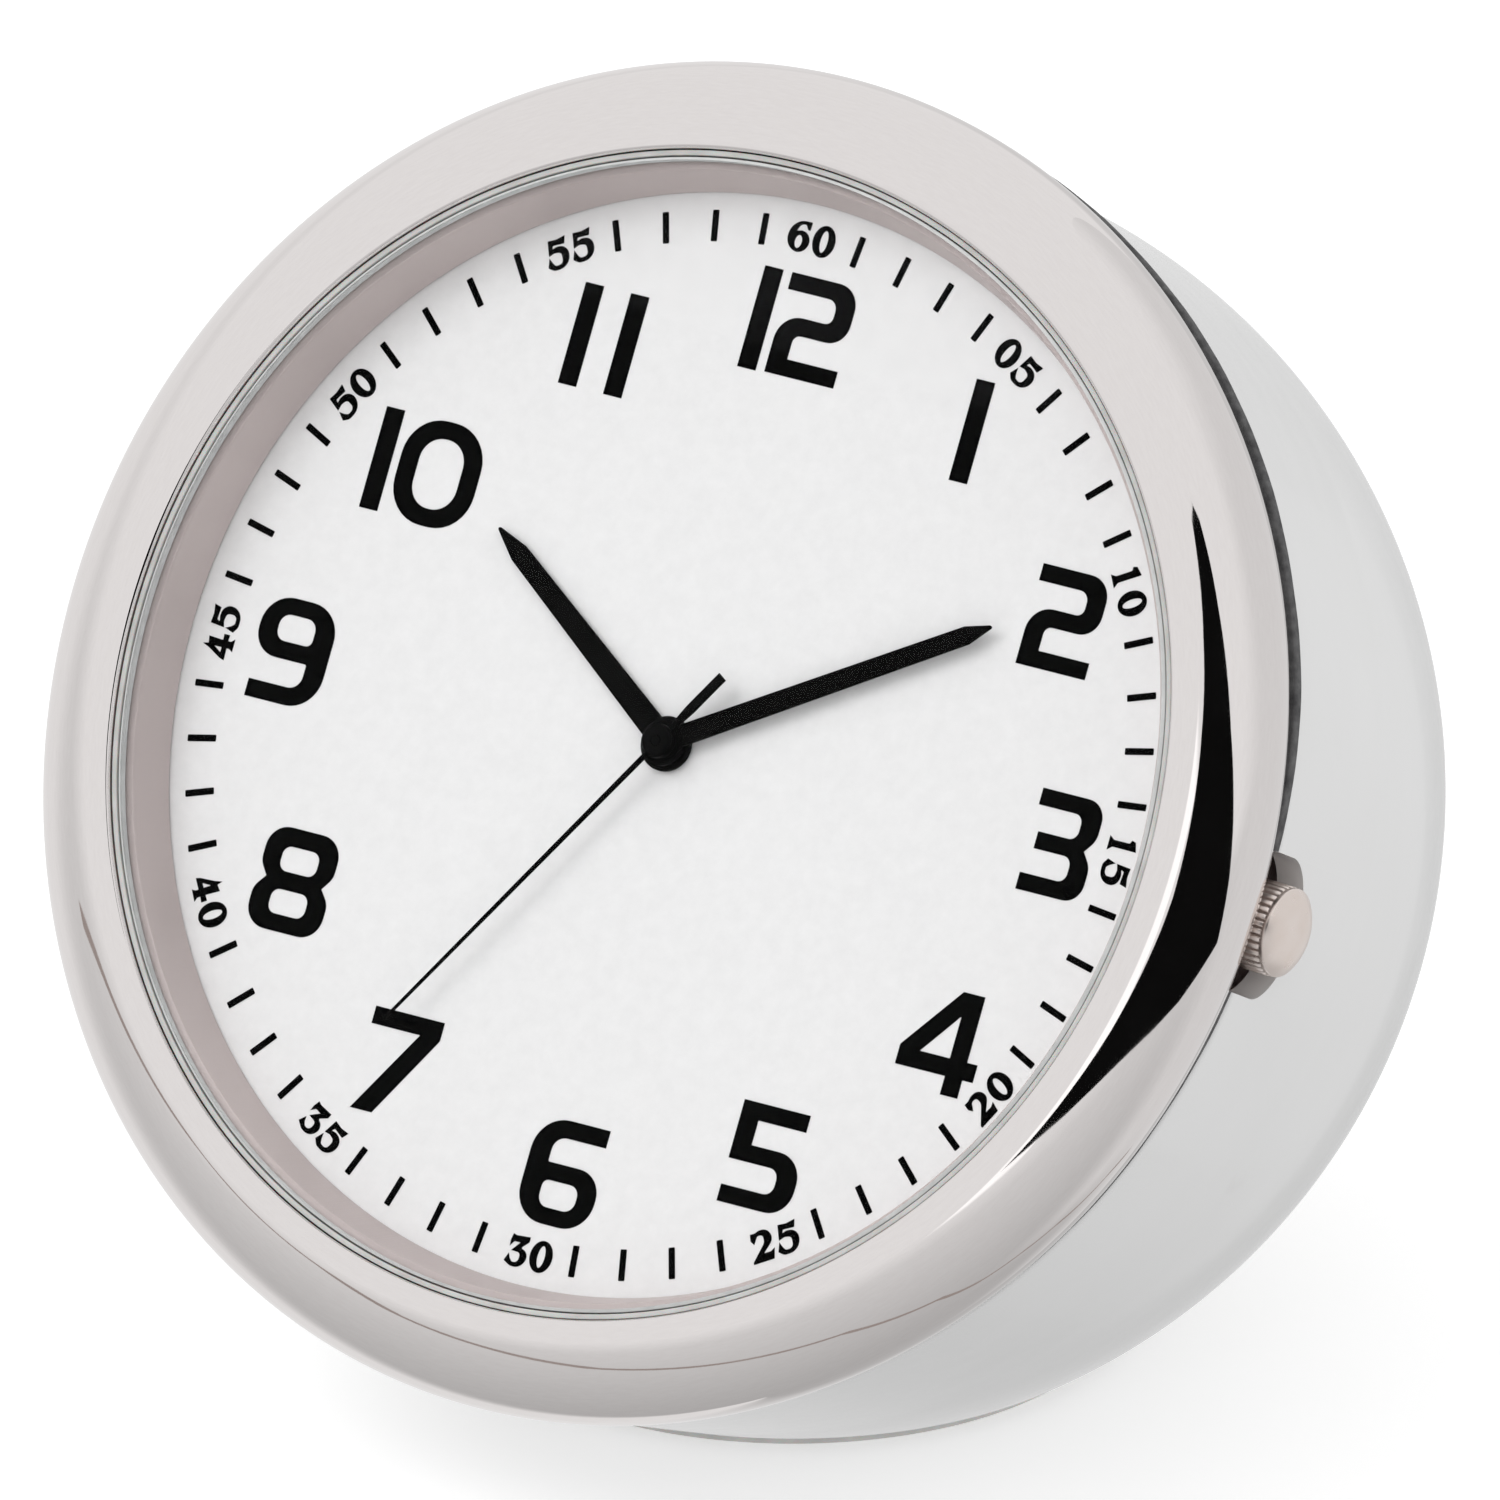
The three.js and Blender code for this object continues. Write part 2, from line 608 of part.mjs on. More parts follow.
function circuitBoard() {
  const [[left, low], [right, high]] = BOARD_CORNERS;
  const corner = 1.1;
  const outline = [
    [left, low + corner], [left + corner, low], [right - corner, low],
    [right, low + corner], [right, high], [left, high],
  ];
  return plate(outline, BOARD_BACK, PLATE_BACK - 0.2);
}

/** The tuning-fork crystal's can, lying on the board. */
function quartzCrystal() {
  const radius = 0.75;
  return disc(radius, 0, 5, SMALL).rotateY(Math.PI / 2).translate(2.2, -10, BOARD_BACK - radius - GAP);
}

/** A button cell whose smaller, negative side faces the main plate. */
function batteryCell() {
  const front = PLATE_BACK - 0.1;
  const cell = turned([
    [0, BATTERY_BACK],
    [BATTERY_RADIUS, BATTERY_BACK],
    [BATTERY_RADIUS, front - 0.35],
    [BATTERY_RADIUS - 0.5, front - 0.2],
    [BATTERY_RADIUS - 0.6, front],
    [0, front],
  ], MEDIUM);
  return cell.translate(...BATTERY_AT, 0);
}

piece(head, 'stator', 'steel', stator());
piece(head, 'coil_core', 'steel', coilCore());
piece(head, 'coil', 'copper', coil());
COIL_SCREWS.forEach((at, i) => {
  piece(head, `coil_screw_${i + 1}`, 'steel', screw(at, CORE_BACK - GAP, 1.1));
});
piece(head, 'circuit_board', 'board_green', circuitBoard());
piece(head, 'timing_chip', 'black_plastic',
  block([-2.2, -11.4, BOARD_BACK - 0.8], [0.8, -8.7, BOARD_BACK - GAP]));
piece(head, 'quartz_crystal', 'steel', quartzCrystal());
piece(head, 'battery_cell', 'steel', batteryCell());
piece(head, 'battery_strap', 'steel', batteryStrap());
piece(head, 'strap_screw', 'steel', screw(STRAP_SCREW_AT, STRAP_BACK - GAP, 2));

// ---------------------------------------------------------------- going train
/** The magnet rotor with its pinion, which meshes the intermediate wheel. */
function rotor() {
  const [pinion] = pitchRadii(ROTOR_MESH, ROTOR_DISTANCE);
  const facing = ROTOR_ANGLE + 180;
  return joined(
    disc(ARBOR_RADIUS, ARBOR_BACK, ARBOR_FRONT, SMALL, ROTOR_AT),
    disc(MAGNET_RADIUS, STATOR_BACK - 0.3, STATOR_FRONT + 0.25, 16, ROTOR_AT),
    gear(ROTOR_MESH[0], pinion, LEVELS.rotorPinion, ROTOR_AT, gapTowards(facing, ROTOR_MESH[0])),
  );
}

function intermediateWheel() {
  const wheel = pitchRadii(ROTOR_MESH, ROTOR_DISTANCE)[1];
  const [pinion] = pitchRadii(SECONDS_MESH, INTERMEDIATE_DISTANCE);
  const tooth = gapTowards(INTERMEDIATE_ANGLE + 180, SECONDS_MESH[0]);
  return joined(
    disc(ARBOR_RADIUS, ARBOR_BACK, ARBOR_FRONT, SMALL, INTERMEDIATE_AT),
    gear(ROTOR_MESH[1], wheel, LEVELS.intermediateWheel, INTERMEDIATE_AT, ROTOR_ANGLE),
    gear(SECONDS_MESH[0], pinion, LEVELS.intermediatePinion, INTERMEDIATE_AT, tooth),
  );
}

/** The wheel whose long arbor runs through the centre to the second hand. */
function secondsWheel() {
  const wheel = pitchRadii(SECONDS_MESH, INTERMEDIATE_DISTANCE)[1];
  const [pinion] = pitchRadii(THIRD_MESH, THIRD_DISTANCE);
  return joined(
    disc(ARBOR_RADIUS, ARBOR_BACK, SECONDS_ARBOR_END, SMALL),
    gear(SECONDS_MESH[1], wheel, LEVELS.secondsWheel, [0, 0], INTERMEDIATE_ANGLE),
    gear(THIRD_MESH[0], pinion, LEVELS.secondsPinion, [0, 0], gapTowards(THIRD_ANGLE, THIRD_MESH[0])),
  );
}

function thirdWheel() {
  const wheel = pitchRadii(THIRD_MESH, THIRD_DISTANCE)[1];
  const [pinion] = pitchRadii(CENTRE_MESH, THIRD_DISTANCE);
  const facing = THIRD_ANGLE + 180;
  return joined(
    disc(ARBOR_RADIUS, ARBOR_BACK, ARBOR_FRONT, SMALL, THIRD_AT),
    gear(THIRD_MESH[1], wheel, LEVELS.thirdWheel, THIRD_AT, facing),
    gear(CENTRE_MESH[0], pinion, LEVELS.thirdPinion, THIRD_AT, gapTowards(facing, CENTRE_MESH[0])),
  );
}

/** The wheel that grips the cannon pinion and lets it slip when the hands are set. */
function centreWheel() {
  const wheel = pitchRadii(CENTRE_MESH, THIRD_DISTANCE)[1];
  return gear(CENTRE_MESH[1], wheel, LEVELS.centreWheel, [0, 0], THIRD_ANGLE, CANNON_RADIUS + GAP);
}

piece(head, 'rotor', 'magnet', rotor());
piece(head, 'intermediate_wheel', 'nylon', intermediateWheel());
piece(head, 'seconds_wheel', 'brass', secondsWheel());
piece(head, 'third_wheel', 'brass', thirdWheel());
piece(head, 'centre_wheel', 'brass', centreWheel());

// ---------------------------------------------------------------- motion work
/** The pipe that carries the minute hand, with its leaves in front of the main plate. */
function cannonPinion() {
  const [pinion] = pitchRadii(MINUTE_MESH, MINUTE_DISTANCE);
  const tooth = gapTowards(MINUTE_ANGLE, MINUTE_MESH[0]);
  const leaves = gear(MINUTE_MESH[0], pinion, LEVELS.cannonLeaves, [0, 0], tooth, CANNON_BORE);
  return joined(ring(CANNON_BORE, CANNON_RADIUS, -2.95, CANNON_END, SMALL), leaves);
}

function minuteWheel() {
  const facing = MINUTE_ANGLE + 180;
  const [pinion] = pitchRadii(HOUR_MESH, MINUTE_DISTANCE);
  const bore = ARBOR_RADIUS + GAP;
  return joined(
    gear(MINUTE_MESH[1], MINUTE_WHEEL_RADIUS, LEVELS.minuteWheel, MINUTE_AT, facing, bore),
    gear(HOUR_MESH[0], pinion, LEVELS.minutePinion, MINUTE_AT, gapTowards(facing, HOUR_MESH[0]), bore),
  );
}

function settingWheel() {
  const teethFromFacing = (MINUTE_ANGLE + 180 - SETTING_ANGLE) / (360 / MINUTE_MESH[1]);
  const phase = (teethFromFacing % 1) * (360 / SETTING_TEETH);
  const facing = gapTowards(SETTING_ANGLE + 180, SETTING_TEETH) - phase;
  return gear(SETTING_TEETH, SETTING_RADIUS, LEVELS.minuteWheel, SETTING_AT, facing, ARBOR_RADIUS + GAP);
}

/** The wheel whose pipe carries the hour hand. */
function hourWheel() {
  const wheel = pitchRadii(HOUR_MESH, MINUTE_DISTANCE)[1];
  return joined(
    ring(HOUR_PIPE_BORE, HOUR_PIPE_RADIUS, LEVELS.hourWheel[0], HOUR_PIPE_END, SMALL),
    gear(HOUR_MESH[1], wheel, LEVELS.hourWheel, [0, 0], MINUTE_ANGLE, HOUR_PIPE_BORE),
  );
}

piece(head, 'cannon_pinion', 'steel', cannonPinion());
piece(head, 'minute_wheel', 'brass', minuteWheel());
piece(head, 'setting_wheel', 'brass', settingWheel());
piece(head, 'hour_wheel', 'brass', hourWheel());

// ---------------------------------------------------------------- hands
/** A baton that narrows towards its long point, on a round boss bored for its pipe. */
function batonHand({ length, base, end, point, bossRadius, bore, z, clockAngle }) {
  const shoulder = length - point;
  const outline = [
    [-base / 2, 0], [base / 2, 0], [end / 2, shoulder], [end / 5, shoulder + point * 0.55],
    [0, length], [-end / 5, shoulder + point * 0.55], [-end / 2, shoulder],
  ];
  const boss = disc(bossRadius, z - 0.05, z + HAND_PLATE + 0.05, 24);
  const hand = joined(plate(outline, z, z + HAND_PLATE), boss);
  return cut(hand, disc(bore, z - 1, z + 1, SMALL)).rotateZ(degrees(CASE_TURN - clockAngle));
}

/** A needle with a broader tail, on a boss that closes over the seconds arbor. */
function secondHand() {
  const z = SECOND_HAND_Z;
  const thickness = 0.1;
  const outline = [
    [-0.225, -3.9], [0.225, -3.9], [0.225, -1.9], [0.125, -0.6],
    [0.065, 16.9], [-0.065, 16.9], [-0.125, -0.6], [-0.225, -1.9],
  ];
  const hand = joined(plate(outline, z, z + thickness), disc(0.725, z - 0.05, z + 0.35, 20));
  const bore = disc(ARBOR_RADIUS + 0.03, z - 1, SECONDS_ARBOR_END + 0.05, SMALL);
  return cut(hand, bore).rotateZ(degrees(CASE_TURN - SECOND_HAND_ANGLE));
}

piece(head, 'hour_hand', 'black_gloss', batonHand({
  length: 12.7, base: 1.15, end: 0.85, point: 1.7, bossRadius: 1.18, bore: HOUR_PIPE_RADIUS + 0.03,
  z: HOUR_HAND_Z, clockAngle: HOUR_HAND_ANGLE,
}));
piece(head, 'minute_hand', 'black_gloss', batonHand({
  length: 15.9, base: 0.95, end: 0.8, point: 1.7, bossRadius: 1, bore: CANNON_RADIUS + 0.03,
  z: MINUTE_HAND_Z, clockAngle: MINUTE_HAND_ANGLE,
}));
piece(head, 'second_hand', 'black_gloss', secondHand());

// ---------------------------------------------------------------- stem, crown and setting lever
const GROOVE = [12.4, 13.2]; // from the centre of the clock, as the stem's other lengths are
const STEM_SQUARE = 0.56;
const CROWN_BORE_DEPTH = 1.1;

/** The stem: square where it drives the sliding pinion, and grooved for the setting lever. */
function stem() {
  const squareEnd = 11.8;
  const length = 4.2;
  const square = new THREE.BoxGeometry(STEM_SQUARE, STEM_SQUARE, length + JOIN);
  square.translate(0, 0, squareEnd - (length - JOIN) / 2);
  const neck = STEM_SQUARE / 2;
  const tip = CROWN_BACK + CROWN_BORE_DEPTH - 0.1;
  const shaft = turned([
    [0, squareEnd],
    [STEM_RADIUS, squareEnd],
    [STEM_RADIUS, GROOVE[0]],
    [neck, GROOVE[0]],
    [neck, GROOVE[1]],
    [STEM_RADIUS, GROOVE[1]],
    [STEM_RADIUS, tip],
    [0, tip],
  ], SMALL);
  return alongStem(joined(square, shaft));
}

/** The pinion that turns with the stem and lets it slide through its square hole. */
function slidingPinion() {
  const blank = gear(10, 0.66, [8.2, 9.8], [0, 0], 0);
  const hole = STEM_SQUARE + 0.1;
  const square = new THREE.BoxGeometry(hole, hole, CLEAR);
  return alongStem(cut(blank, square));
}

/** The crown: a fluted rim under a low dome, bored for the stem. */
function crown() {
  const flute = 0.12;
  const rimEnd = CROWN_FACE - 0.6;
  const outline = [];
  for (let i = 0; i < CROWN_FLUTES; i += 1) {
    const step = 360 / CROWN_FLUTES;
    outline.push(polar(CROWN_RADIUS, (i - 0.2) * step));
    outline.push(polar(CROWN_RADIUS, (i + 0.2) * step));
    outline.push(polar(CROWN_RADIUS - flute, (i + 0.35) * step));
    outline.push(polar(CROWN_RADIUS - flute, (i + 0.65) * step));
  }
  const dome = turned([
    [0, rimEnd - 0.1],
    [CROWN_RADIUS, rimEnd - 0.1],
    [CROWN_RADIUS * 0.75, CROWN_FACE - 0.2],
    [CROWN_RADIUS * 0.4, CROWN_FACE - 0.05],
    [0, CROWN_FACE],
  ], CROWN_FLUTES);
  const rim = plate(outline, CROWN_BACK, rimEnd);
  const bore = disc(STEM_RADIUS + 0.05, CROWN_BACK - 1, CROWN_BACK + CROWN_BORE_DEPTH, SMALL);
  return alongStem(cut(joined(rim, dome), bore));
}

/** The lever whose pin rides in the stem's groove and swings as the crown is pulled. */
function settingLever() {
  const [x, y] = LEVER_AT;
  const outline = [[x - 0.6, -0.5], [x + 0.6, -0.5], [x + 0.9, y + 0.9], [x - 0.9, y + 0.9]];
  const arm = plate(outline, -4.15, -3.9, [{ at: LEVER_AT, radius: LEVER_POST_RADIUS + 0.07 }]);
  return joined(arm, disc(0.2, -4, STEM_Z - 0.35, 8, [x, 0]));
}

piece(head, 'stem', 'steel', stem());
piece(head, 'sliding_pinion', 'steel', slidingPinion());
piece(head, 'crown', 'rose_metal', crown());
piece(head, 'setting_lever', 'steel', settingLever());

clock.add(head);
export default clock;
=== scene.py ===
"""The finished look of the ball clock: fine meshes, a printed dial, materials, light and camera."""
import json
import math

import bmesh
import bpy
from mathutils import Matrix, Vector
from mathutils.geometry import tessellate_polygon


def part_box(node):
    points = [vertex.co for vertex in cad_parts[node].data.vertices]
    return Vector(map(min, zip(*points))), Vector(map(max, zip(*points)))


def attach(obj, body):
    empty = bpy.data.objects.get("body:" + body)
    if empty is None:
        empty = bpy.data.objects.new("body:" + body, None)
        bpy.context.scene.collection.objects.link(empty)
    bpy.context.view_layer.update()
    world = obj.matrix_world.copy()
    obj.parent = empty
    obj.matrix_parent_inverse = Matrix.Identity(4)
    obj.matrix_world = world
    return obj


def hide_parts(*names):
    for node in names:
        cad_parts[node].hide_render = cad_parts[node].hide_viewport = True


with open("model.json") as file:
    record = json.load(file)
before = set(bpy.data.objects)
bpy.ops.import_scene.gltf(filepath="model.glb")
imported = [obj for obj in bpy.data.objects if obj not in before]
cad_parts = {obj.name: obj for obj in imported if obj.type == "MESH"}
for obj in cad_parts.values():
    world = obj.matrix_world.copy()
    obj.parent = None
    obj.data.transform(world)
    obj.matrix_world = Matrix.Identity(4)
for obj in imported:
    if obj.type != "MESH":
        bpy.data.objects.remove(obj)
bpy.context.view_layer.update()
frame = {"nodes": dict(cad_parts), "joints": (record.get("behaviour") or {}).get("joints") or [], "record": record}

# ---- frames
# Shapes are drawn in millimetres, most of them in the frame of the clock head: x to 3 o'clock,
# y to 12 o'clock, z out of the dial, with z = 0 on the dial's face.
MM = 0.001
IN_CLOCK = Matrix.Scale(MM, 4)
JOINTS = {joint["name"]: joint for joint in frame["joints"]}
OUT = Vector(JOINTS["head_pull"]["axis"]).normalized()
STEM = Vector(JOINTS["crown_pull"]["axis"]).normalized()
DIAL_CENTRE = Vector(JOINTS["second_hand_turn"]["pos_m"])


def frame_on_dial(right):
    """The place of the dial's centre, with x along right and z out of the dial."""
    return Matrix.Translation(DIAL_CENTRE) @ Matrix((right, OUT.cross(right), OUT)).transposed().to_4x4()


# The case sits a little clockwise of the printed dial, so the stem gives it a frame of its own.
HEAD = frame_on_dial(Vector((1, 0, 0)))
IN_HEAD = HEAD @ IN_CLOCK
IN_CASE = frame_on_dial(STEM) @ IN_CLOCK


def points_of(node, place=IN_HEAD):
    """A CAD node's corners in millimetres, in the head's frame unless another is given."""
    to_place = place.inverted()
    return [to_place @ vertex.co for vertex in frame["nodes"][node].data.vertices]


def extent(node, place=IN_HEAD):
    """The lowest and highest corner of a CAD node's box in that frame."""
    columns = list(zip(*points_of(node, place)))
    return Vector([min(column) for column in columns]), Vector([max(column) for column in columns])


def reach(node):
    """The least and greatest distance of a CAD node's corners from the dial's axis."""
    radii = [point.xy.length for point in points_of(node)]
    return min(radii), max(radii)


STEM_Z = sum(corner.z for corner in extent("crown", IN_CASE)) / 2
ALONG_STEM = IN_CASE @ Matrix.Translation((0, 0, STEM_Z)) @ Matrix.Rotation(math.radians(90), 4, "Y")

# ---- dimensions that CAD boxes don't give
WALL = 1.3  # of the ball
FLOOR = 1.6  # of the ball, above its foot
RIM_SLOPE = math.tan(math.radians(0.7))  # how the ball's rim falls back towards 12 o'clock
NOTCH = (3.1, 2.35)  # half its width, and how far its bottom lies behind the stem
BEZEL_WALL = 0.9
BEZEL_TUCK = 0.35  # how far the bezel's side draws in towards its back
CAN_WALL = 0.8
GAP = 0.06
FACETS = 256  # round the large rings
FINE = 96  # round the small ones
NEARLY_STRAIGHT = 0.02  # radians short of straight, where a corner isn't rounded
LEAST_STEP = 1e-4  # between an outline's points


# ---- mesh tools
def rounded(corners, steps=6):
    """A closed outline from corners (x, y) or (x, y, radius), with an arc at each that has a radius."""
    outline = []
    for index, corner in enumerate(corners):
        here = Vector(corner[:2])
        radius = corner[2] if len(corner) > 2 else 0
        before = Vector(corners[index - 1][:2]) - here
        after = Vector(corners[(index + 1) % len(corners)][:2]) - here
        opening = before.angle(after, math.pi) if before.length and after.length else math.pi
        if radius == 0 or opening > math.pi - NEARLY_STRAIGHT:
            outline.append(here)
            continue
        before_way, after_way = before.normalized(), after.normalized()
        tangent = min(radius / math.tan(opening / 2), before.length, after.length)
        start = here + before_way * tangent
        end = here + after_way * tangent
        middle = here + (before_way + after_way).normalized() * tangent / math.cos(opening / 2)
        spoke = start - middle
        turn = spoke.angle_signed(end - middle)
        for step in range(steps + 1):
            outline.append(middle + Matrix.Rotation(-turn * step / steps, 2) @ spoke)
    return [point for index, point in enumerate(outline) if (point - outline[index - 1]).length > LEAST_STEP]


def ellipse(centre, across, up, steps=40):
    """A closed ellipse as an outline."""
    return [Vector(point) for point in arc(centre, across, up, 0, 360, steps)[:-1]]


def arc(centre, across, up, start, end, steps):
    """Part of an ellipse, from one angle in degrees to another."""
    turns = [math.radians(start + (end - start) * step / steps) for step in range(steps + 1)]
    return [(centre[0] + across * math.cos(t), centre[1] + up * math.sin(t)) for t in turns]


def turned(outline, facets=FACETS):
    """Points and faces of a (radius, z) outline turned about z. It may start and end on the axis."""
    points, rows = [], []
    for radius, z in outline:
        count = facets if radius > 1e-6 else 1
        first = len(points)
        for step in range(count):
            turn = 2 * math.pi * step / count
            points.append((radius * math.cos(turn), radius * math.sin(turn), z))
        rows.append([first + step % count for step in range(facets)])
    faces = []
    for below, above in zip(rows, rows[1:] + rows[:1]):
        for step in range(facets):
            following = (step + 1) % facets
            face = dict.fromkeys([below[step], below[following], above[following], above[step]])
            if len(face) > 2:
                faces.append(list(face))
    return points, faces


def rod(radius, bottom, top, facets=FINE):
    """Points and faces of a plain cylinder about z."""
    return turned([(0, bottom), (radius, bottom), (radius, top), (0, top)], facets)


def inset(outline, depth):
    """A closed outline moved inwards by depth."""
    area = sum(a.cross(b) for a, b in zip(outline, outline[1:] + outline[:1]))
    side = 1 if area > 0 else -1
    least_share = 0.35  # so that a sharp point isn't thrown far out
    moved = []
    for index, here in enumerate(outline):
        before = (here - outline[index - 1]).normalized()
        after = (outline[(index + 1) % len(outline)] - here).normalized()
        normal = Vector((-before.y - after.y, before.x + after.x)) * side
        share = max(normal.normalized().dot(Vector((-before.y, before.x)) * side), least_share)
        moved.append(here + normal.normalized() * depth / share)
    return moved


def slab(outlines, bottom, top, chamfer=0.0):
    """Points and faces of a flat solid from an outer outline and its holes, with a chamfer round its top."""
    outlines = [[Vector(point) for point in outline] for outline in outlines]
    layers = [(0.0, bottom), (0.0, top - chamfer)]
    if chamfer:
        layers.append((chamfer, top))
    points, faces, starts = [], [], []
    for depth, z in layers:
        starts.append(len(points))
        for index, outline in enumerate(outlines):
            drawn = inset(outline, depth if index == 0 else -depth) if depth else outline
            points += [(point.x, point.y, z) for point in drawn]
    for lower, upper in zip(starts, starts[1:]):
        first = 0
        for outline in outlines:
            count = len(outline)
            for step in range(count):
                a, b = first + step, first + (step + 1) % count
                faces.append([lower + a, lower + b, upper + b, upper + a])
            first += count
    cap = tessellate_polygon([[point.to_3d() for point in outline] for outline in outlines])
    for layer in (starts[0], starts[-1]):
        faces += [[layer + corner for corner in triangle] for triangle in cap]
    return points, faces


def joined(*shapes):
    """Several (points, faces) shapes as one."""
    points, faces = [], []
    for more_points, more_faces in shapes:
        offset = len(points)
        points += more_points
        faces += [[offset + corner for corner in face] for face in more_faces]
    return points, faces


def shade(mesh, crease=30):
    """Shades a mesh smooth but for edges sharper than crease degrees."""
    mesh.shade_smooth()
    mesh.set_sharp_from_angle(angle=math.radians(crease))


def solid(name, shape, place=IN_HEAD, crease=30):
    """A new mesh object from a shape in millimetres, smooth but for edges sharper than crease degrees."""
    mesh = bpy.data.meshes.new(name)
    mesh.from_pydata([place @ Vector(point) for point in shape[0]], [], shape[1])
    work = bmesh.new()
    work.from_mesh(mesh)
    bmesh.ops.recalc_face_normals(work, faces=work.faces)
    work.to_mesh(mesh)
    work.free()
    shade(mesh, crease)
    made = bpy.data.objects.new(name, mesh)
    bpy.context.scene.collection.objects.link(made)
    return made


def combine(target, tool, operation="DIFFERENCE", crease=30):
    """Cuts tool away from target or joins it on, and removes tool."""
    modifier = target.modifiers.new("combine", "BOOLEAN")
    modifier.operation = operation
    modifier.solver = "EXACT"
    modifier.object = tool
    graph = bpy.context.evaluated_depsgraph_get()
    mesh = bpy.data.meshes.new_from_object(target.evaluated_get(graph))
    target.modifiers.clear()
    target.data = mesh
    bpy.data.objects.remove(tool)
    shade(mesh, crease)


def sliced(made, height):
    """Cuts away all of made that lies below height, in millimetres above the table, and closes it."""
    work = bmesh.new()
    work.from_mesh(made.data)
    everything = work.verts[:] + work.edges[:] + work.faces[:]
    cut = bmesh.ops.bisect_plane(
        work, geom=everything, plane_co=(0, 0, height * MM), plane_no=(0, 0, -1), clear_outer=True
    )
    edges = [item for item in cut["geom_cut"] if isinstance(item, bmesh.types.BMEdge)]
    bmesh.ops.edgeloop_fill(work, edges=edges)
    bmesh.ops.recalc_face_normals(work, faces=work.faces)
    work.to_mesh(made.data)
    work.free()
    shade(made.data)
    return made


# ---- material tools
def add(tree, kind, inputs=None, **settings):
    """A new node, with its settings and its inputs set or linked."""
    node = tree.nodes.new(kind)
    for key, value in settings.items():
        setattr(node, key, value)
    for key, value in (inputs or {}).items():
        if isinstance(value, bpy.types.NodeSocket):
            tree.links.new(value, node.inputs[key])
        else:
            node.inputs[key].default_value = value
    return node


def maths(tree, operation, first, second=0.0):
    """The result of one sum."""
    return add(tree, "ShaderNodeMath", {0: first, 1: second}, operation=operation).outputs[0]


def product(tree, *factors):
    """The product of two or more values."""
    result = factors[0]
    for factor in factors[1:]:
        result = maths(tree, "MULTIPLY", result, factor)
    return result


def between(tree, value, low, high, start=0.0, end=1.0, smooth=False):
    """value from start to end, spread over low to high."""
    kind = "SMOOTHSTEP" if smooth else "LINEAR"
    inputs = {"Value": value, "From Min": start, "From Max": end, "To Min": low, "To Max": high}
    return add(tree, "ShaderNodeMapRange", inputs, interpolation_type=kind).outputs[0]


def blend(tree, share, first, second):
    """A colour between two others, each a socket or three numbers."""
    first, second = ((*colour, 1) if isinstance(colour, tuple) else colour for colour in (first, second))
    return add(tree, "ShaderNodeMix", {0: share, 6: first, 7: second}, data_type="RGBA").outputs[2]


class Finish:
    """A material on one Principled shader, with the textures that the finishes below share."""

    def __init__(self, name, **sockets):
        self.material = bpy.data.materials.new(name)
        self.material.use_nodes = True
        self.tree = self.material.node_tree
        self.surface = self.tree.nodes["Principled BSDF"]
        for key, value in sockets.items():
            self.surface.inputs[key.replace("_", " ")].default_value = value
        self.place = add(self.tree, "ShaderNodeTexCoord").outputs["Object"]
        self.height = None

    def noise(self, size, detail=3.0, place=None, rough=0.5):
        """Cloudy noise, with patches about size millimetres across."""
        inputs = {"Vector": place or self.place, "Scale": 1 / (size * MM), "Detail": detail,
                  "Roughness": rough}
        return add(self.tree, "ShaderNodeTexNoise", inputs).outputs[0]

    def around(self):
        """The place in the head's frame, as x, y and z in metres, and its angle round the head's axis."""
        inputs = {"Vector": self.place, "Location": DIAL_CENTRE, "Rotation": HEAD.to_euler()}
        place = add(self.tree, "ShaderNodeMapping", inputs, vector_type="TEXTURE").outputs[0]
        parts = add(self.tree, "ShaderNodeSeparateXYZ", {0: place}).outputs
        return parts, maths(self.tree, "ARCTAN2", parts[1], parts[0])

    def round_axis(self, turns, along):
        """A place for marks that run along the head's axis: far apart on it, close together round it."""
        parts, turn = self.around()
        inputs = {0: product(self.tree, turn, turns), 1: product(self.tree, parts[2], along)}
        return add(self.tree, "ShaderNodeCombineXYZ", inputs).outputs[0]

    def rings(self, turns):
        """A place for lathe marks: close together along the radius, drawn out round the head's axis."""
        parts, turn = self.around()
        squares = [product(self.tree, part, part) for part in parts[:2]]
        radius = maths(self.tree, "SQRT", maths(self.tree, "ADD", *squares))
        inputs = {0: radius, 1: product(self.tree, turn, turns), 2: parts[2]}
        return add(self.tree, "ShaderNodeCombineXYZ", inputs).outputs[0]

    def link(self, socket, name):
        """Lets a texture drive one of the shader's inputs."""
        self.tree.links.new(socket, self.surface.inputs[name])

    def colours(self, share, first, second, start=0.3, end=0.7):
        """Lets the colour run from first to second over a texture."""
        spread = between(self.tree, share, 0, 1, start, end)
        self.surface.inputs["Base Color"].default_value = (*first, 1)
        self.link(blend(self.tree, spread, first, second), "Base Color")

    def roughness(self, share, low, high, start=0.3, end=0.7):
        """Lets the roughness run from low to high over a texture."""
        self.link(between(self.tree, share, low, high, start, end), "Roughness")

    def bump(self, height, depth, strength=1.0):
        """Raises the surface by a texture, depth millimetres from lowest to highest."""
        inputs = {"Height": height, "Distance": depth * MM, "Strength": strength}
        if self.height is not None:
            inputs["Normal"] = self.height
        self.height = add(self.tree, "ShaderNodeBump", inputs).outputs[0]
        self.link(self.height, "Normal")


# ---- finishes
def white_gloss():
    """Moulded white plastic: a deep gloss with faint sink marks and fine dust."""
    look = Finish("white_gloss", Coat_Weight=0.35, Coat_Roughness=0.06)
    look.colours(look.noise(9), (0.85, 0.85, 0.848), (0.875, 0.875, 0.875))
    look.roughness(look.noise(1.6, 5), 0.17, 0.27)
    look.bump(look.noise(7, 1), 0.02, 0.5)
    look.bump(look.noise(0.25, 2), 0.002, 0.4)
    return look.material


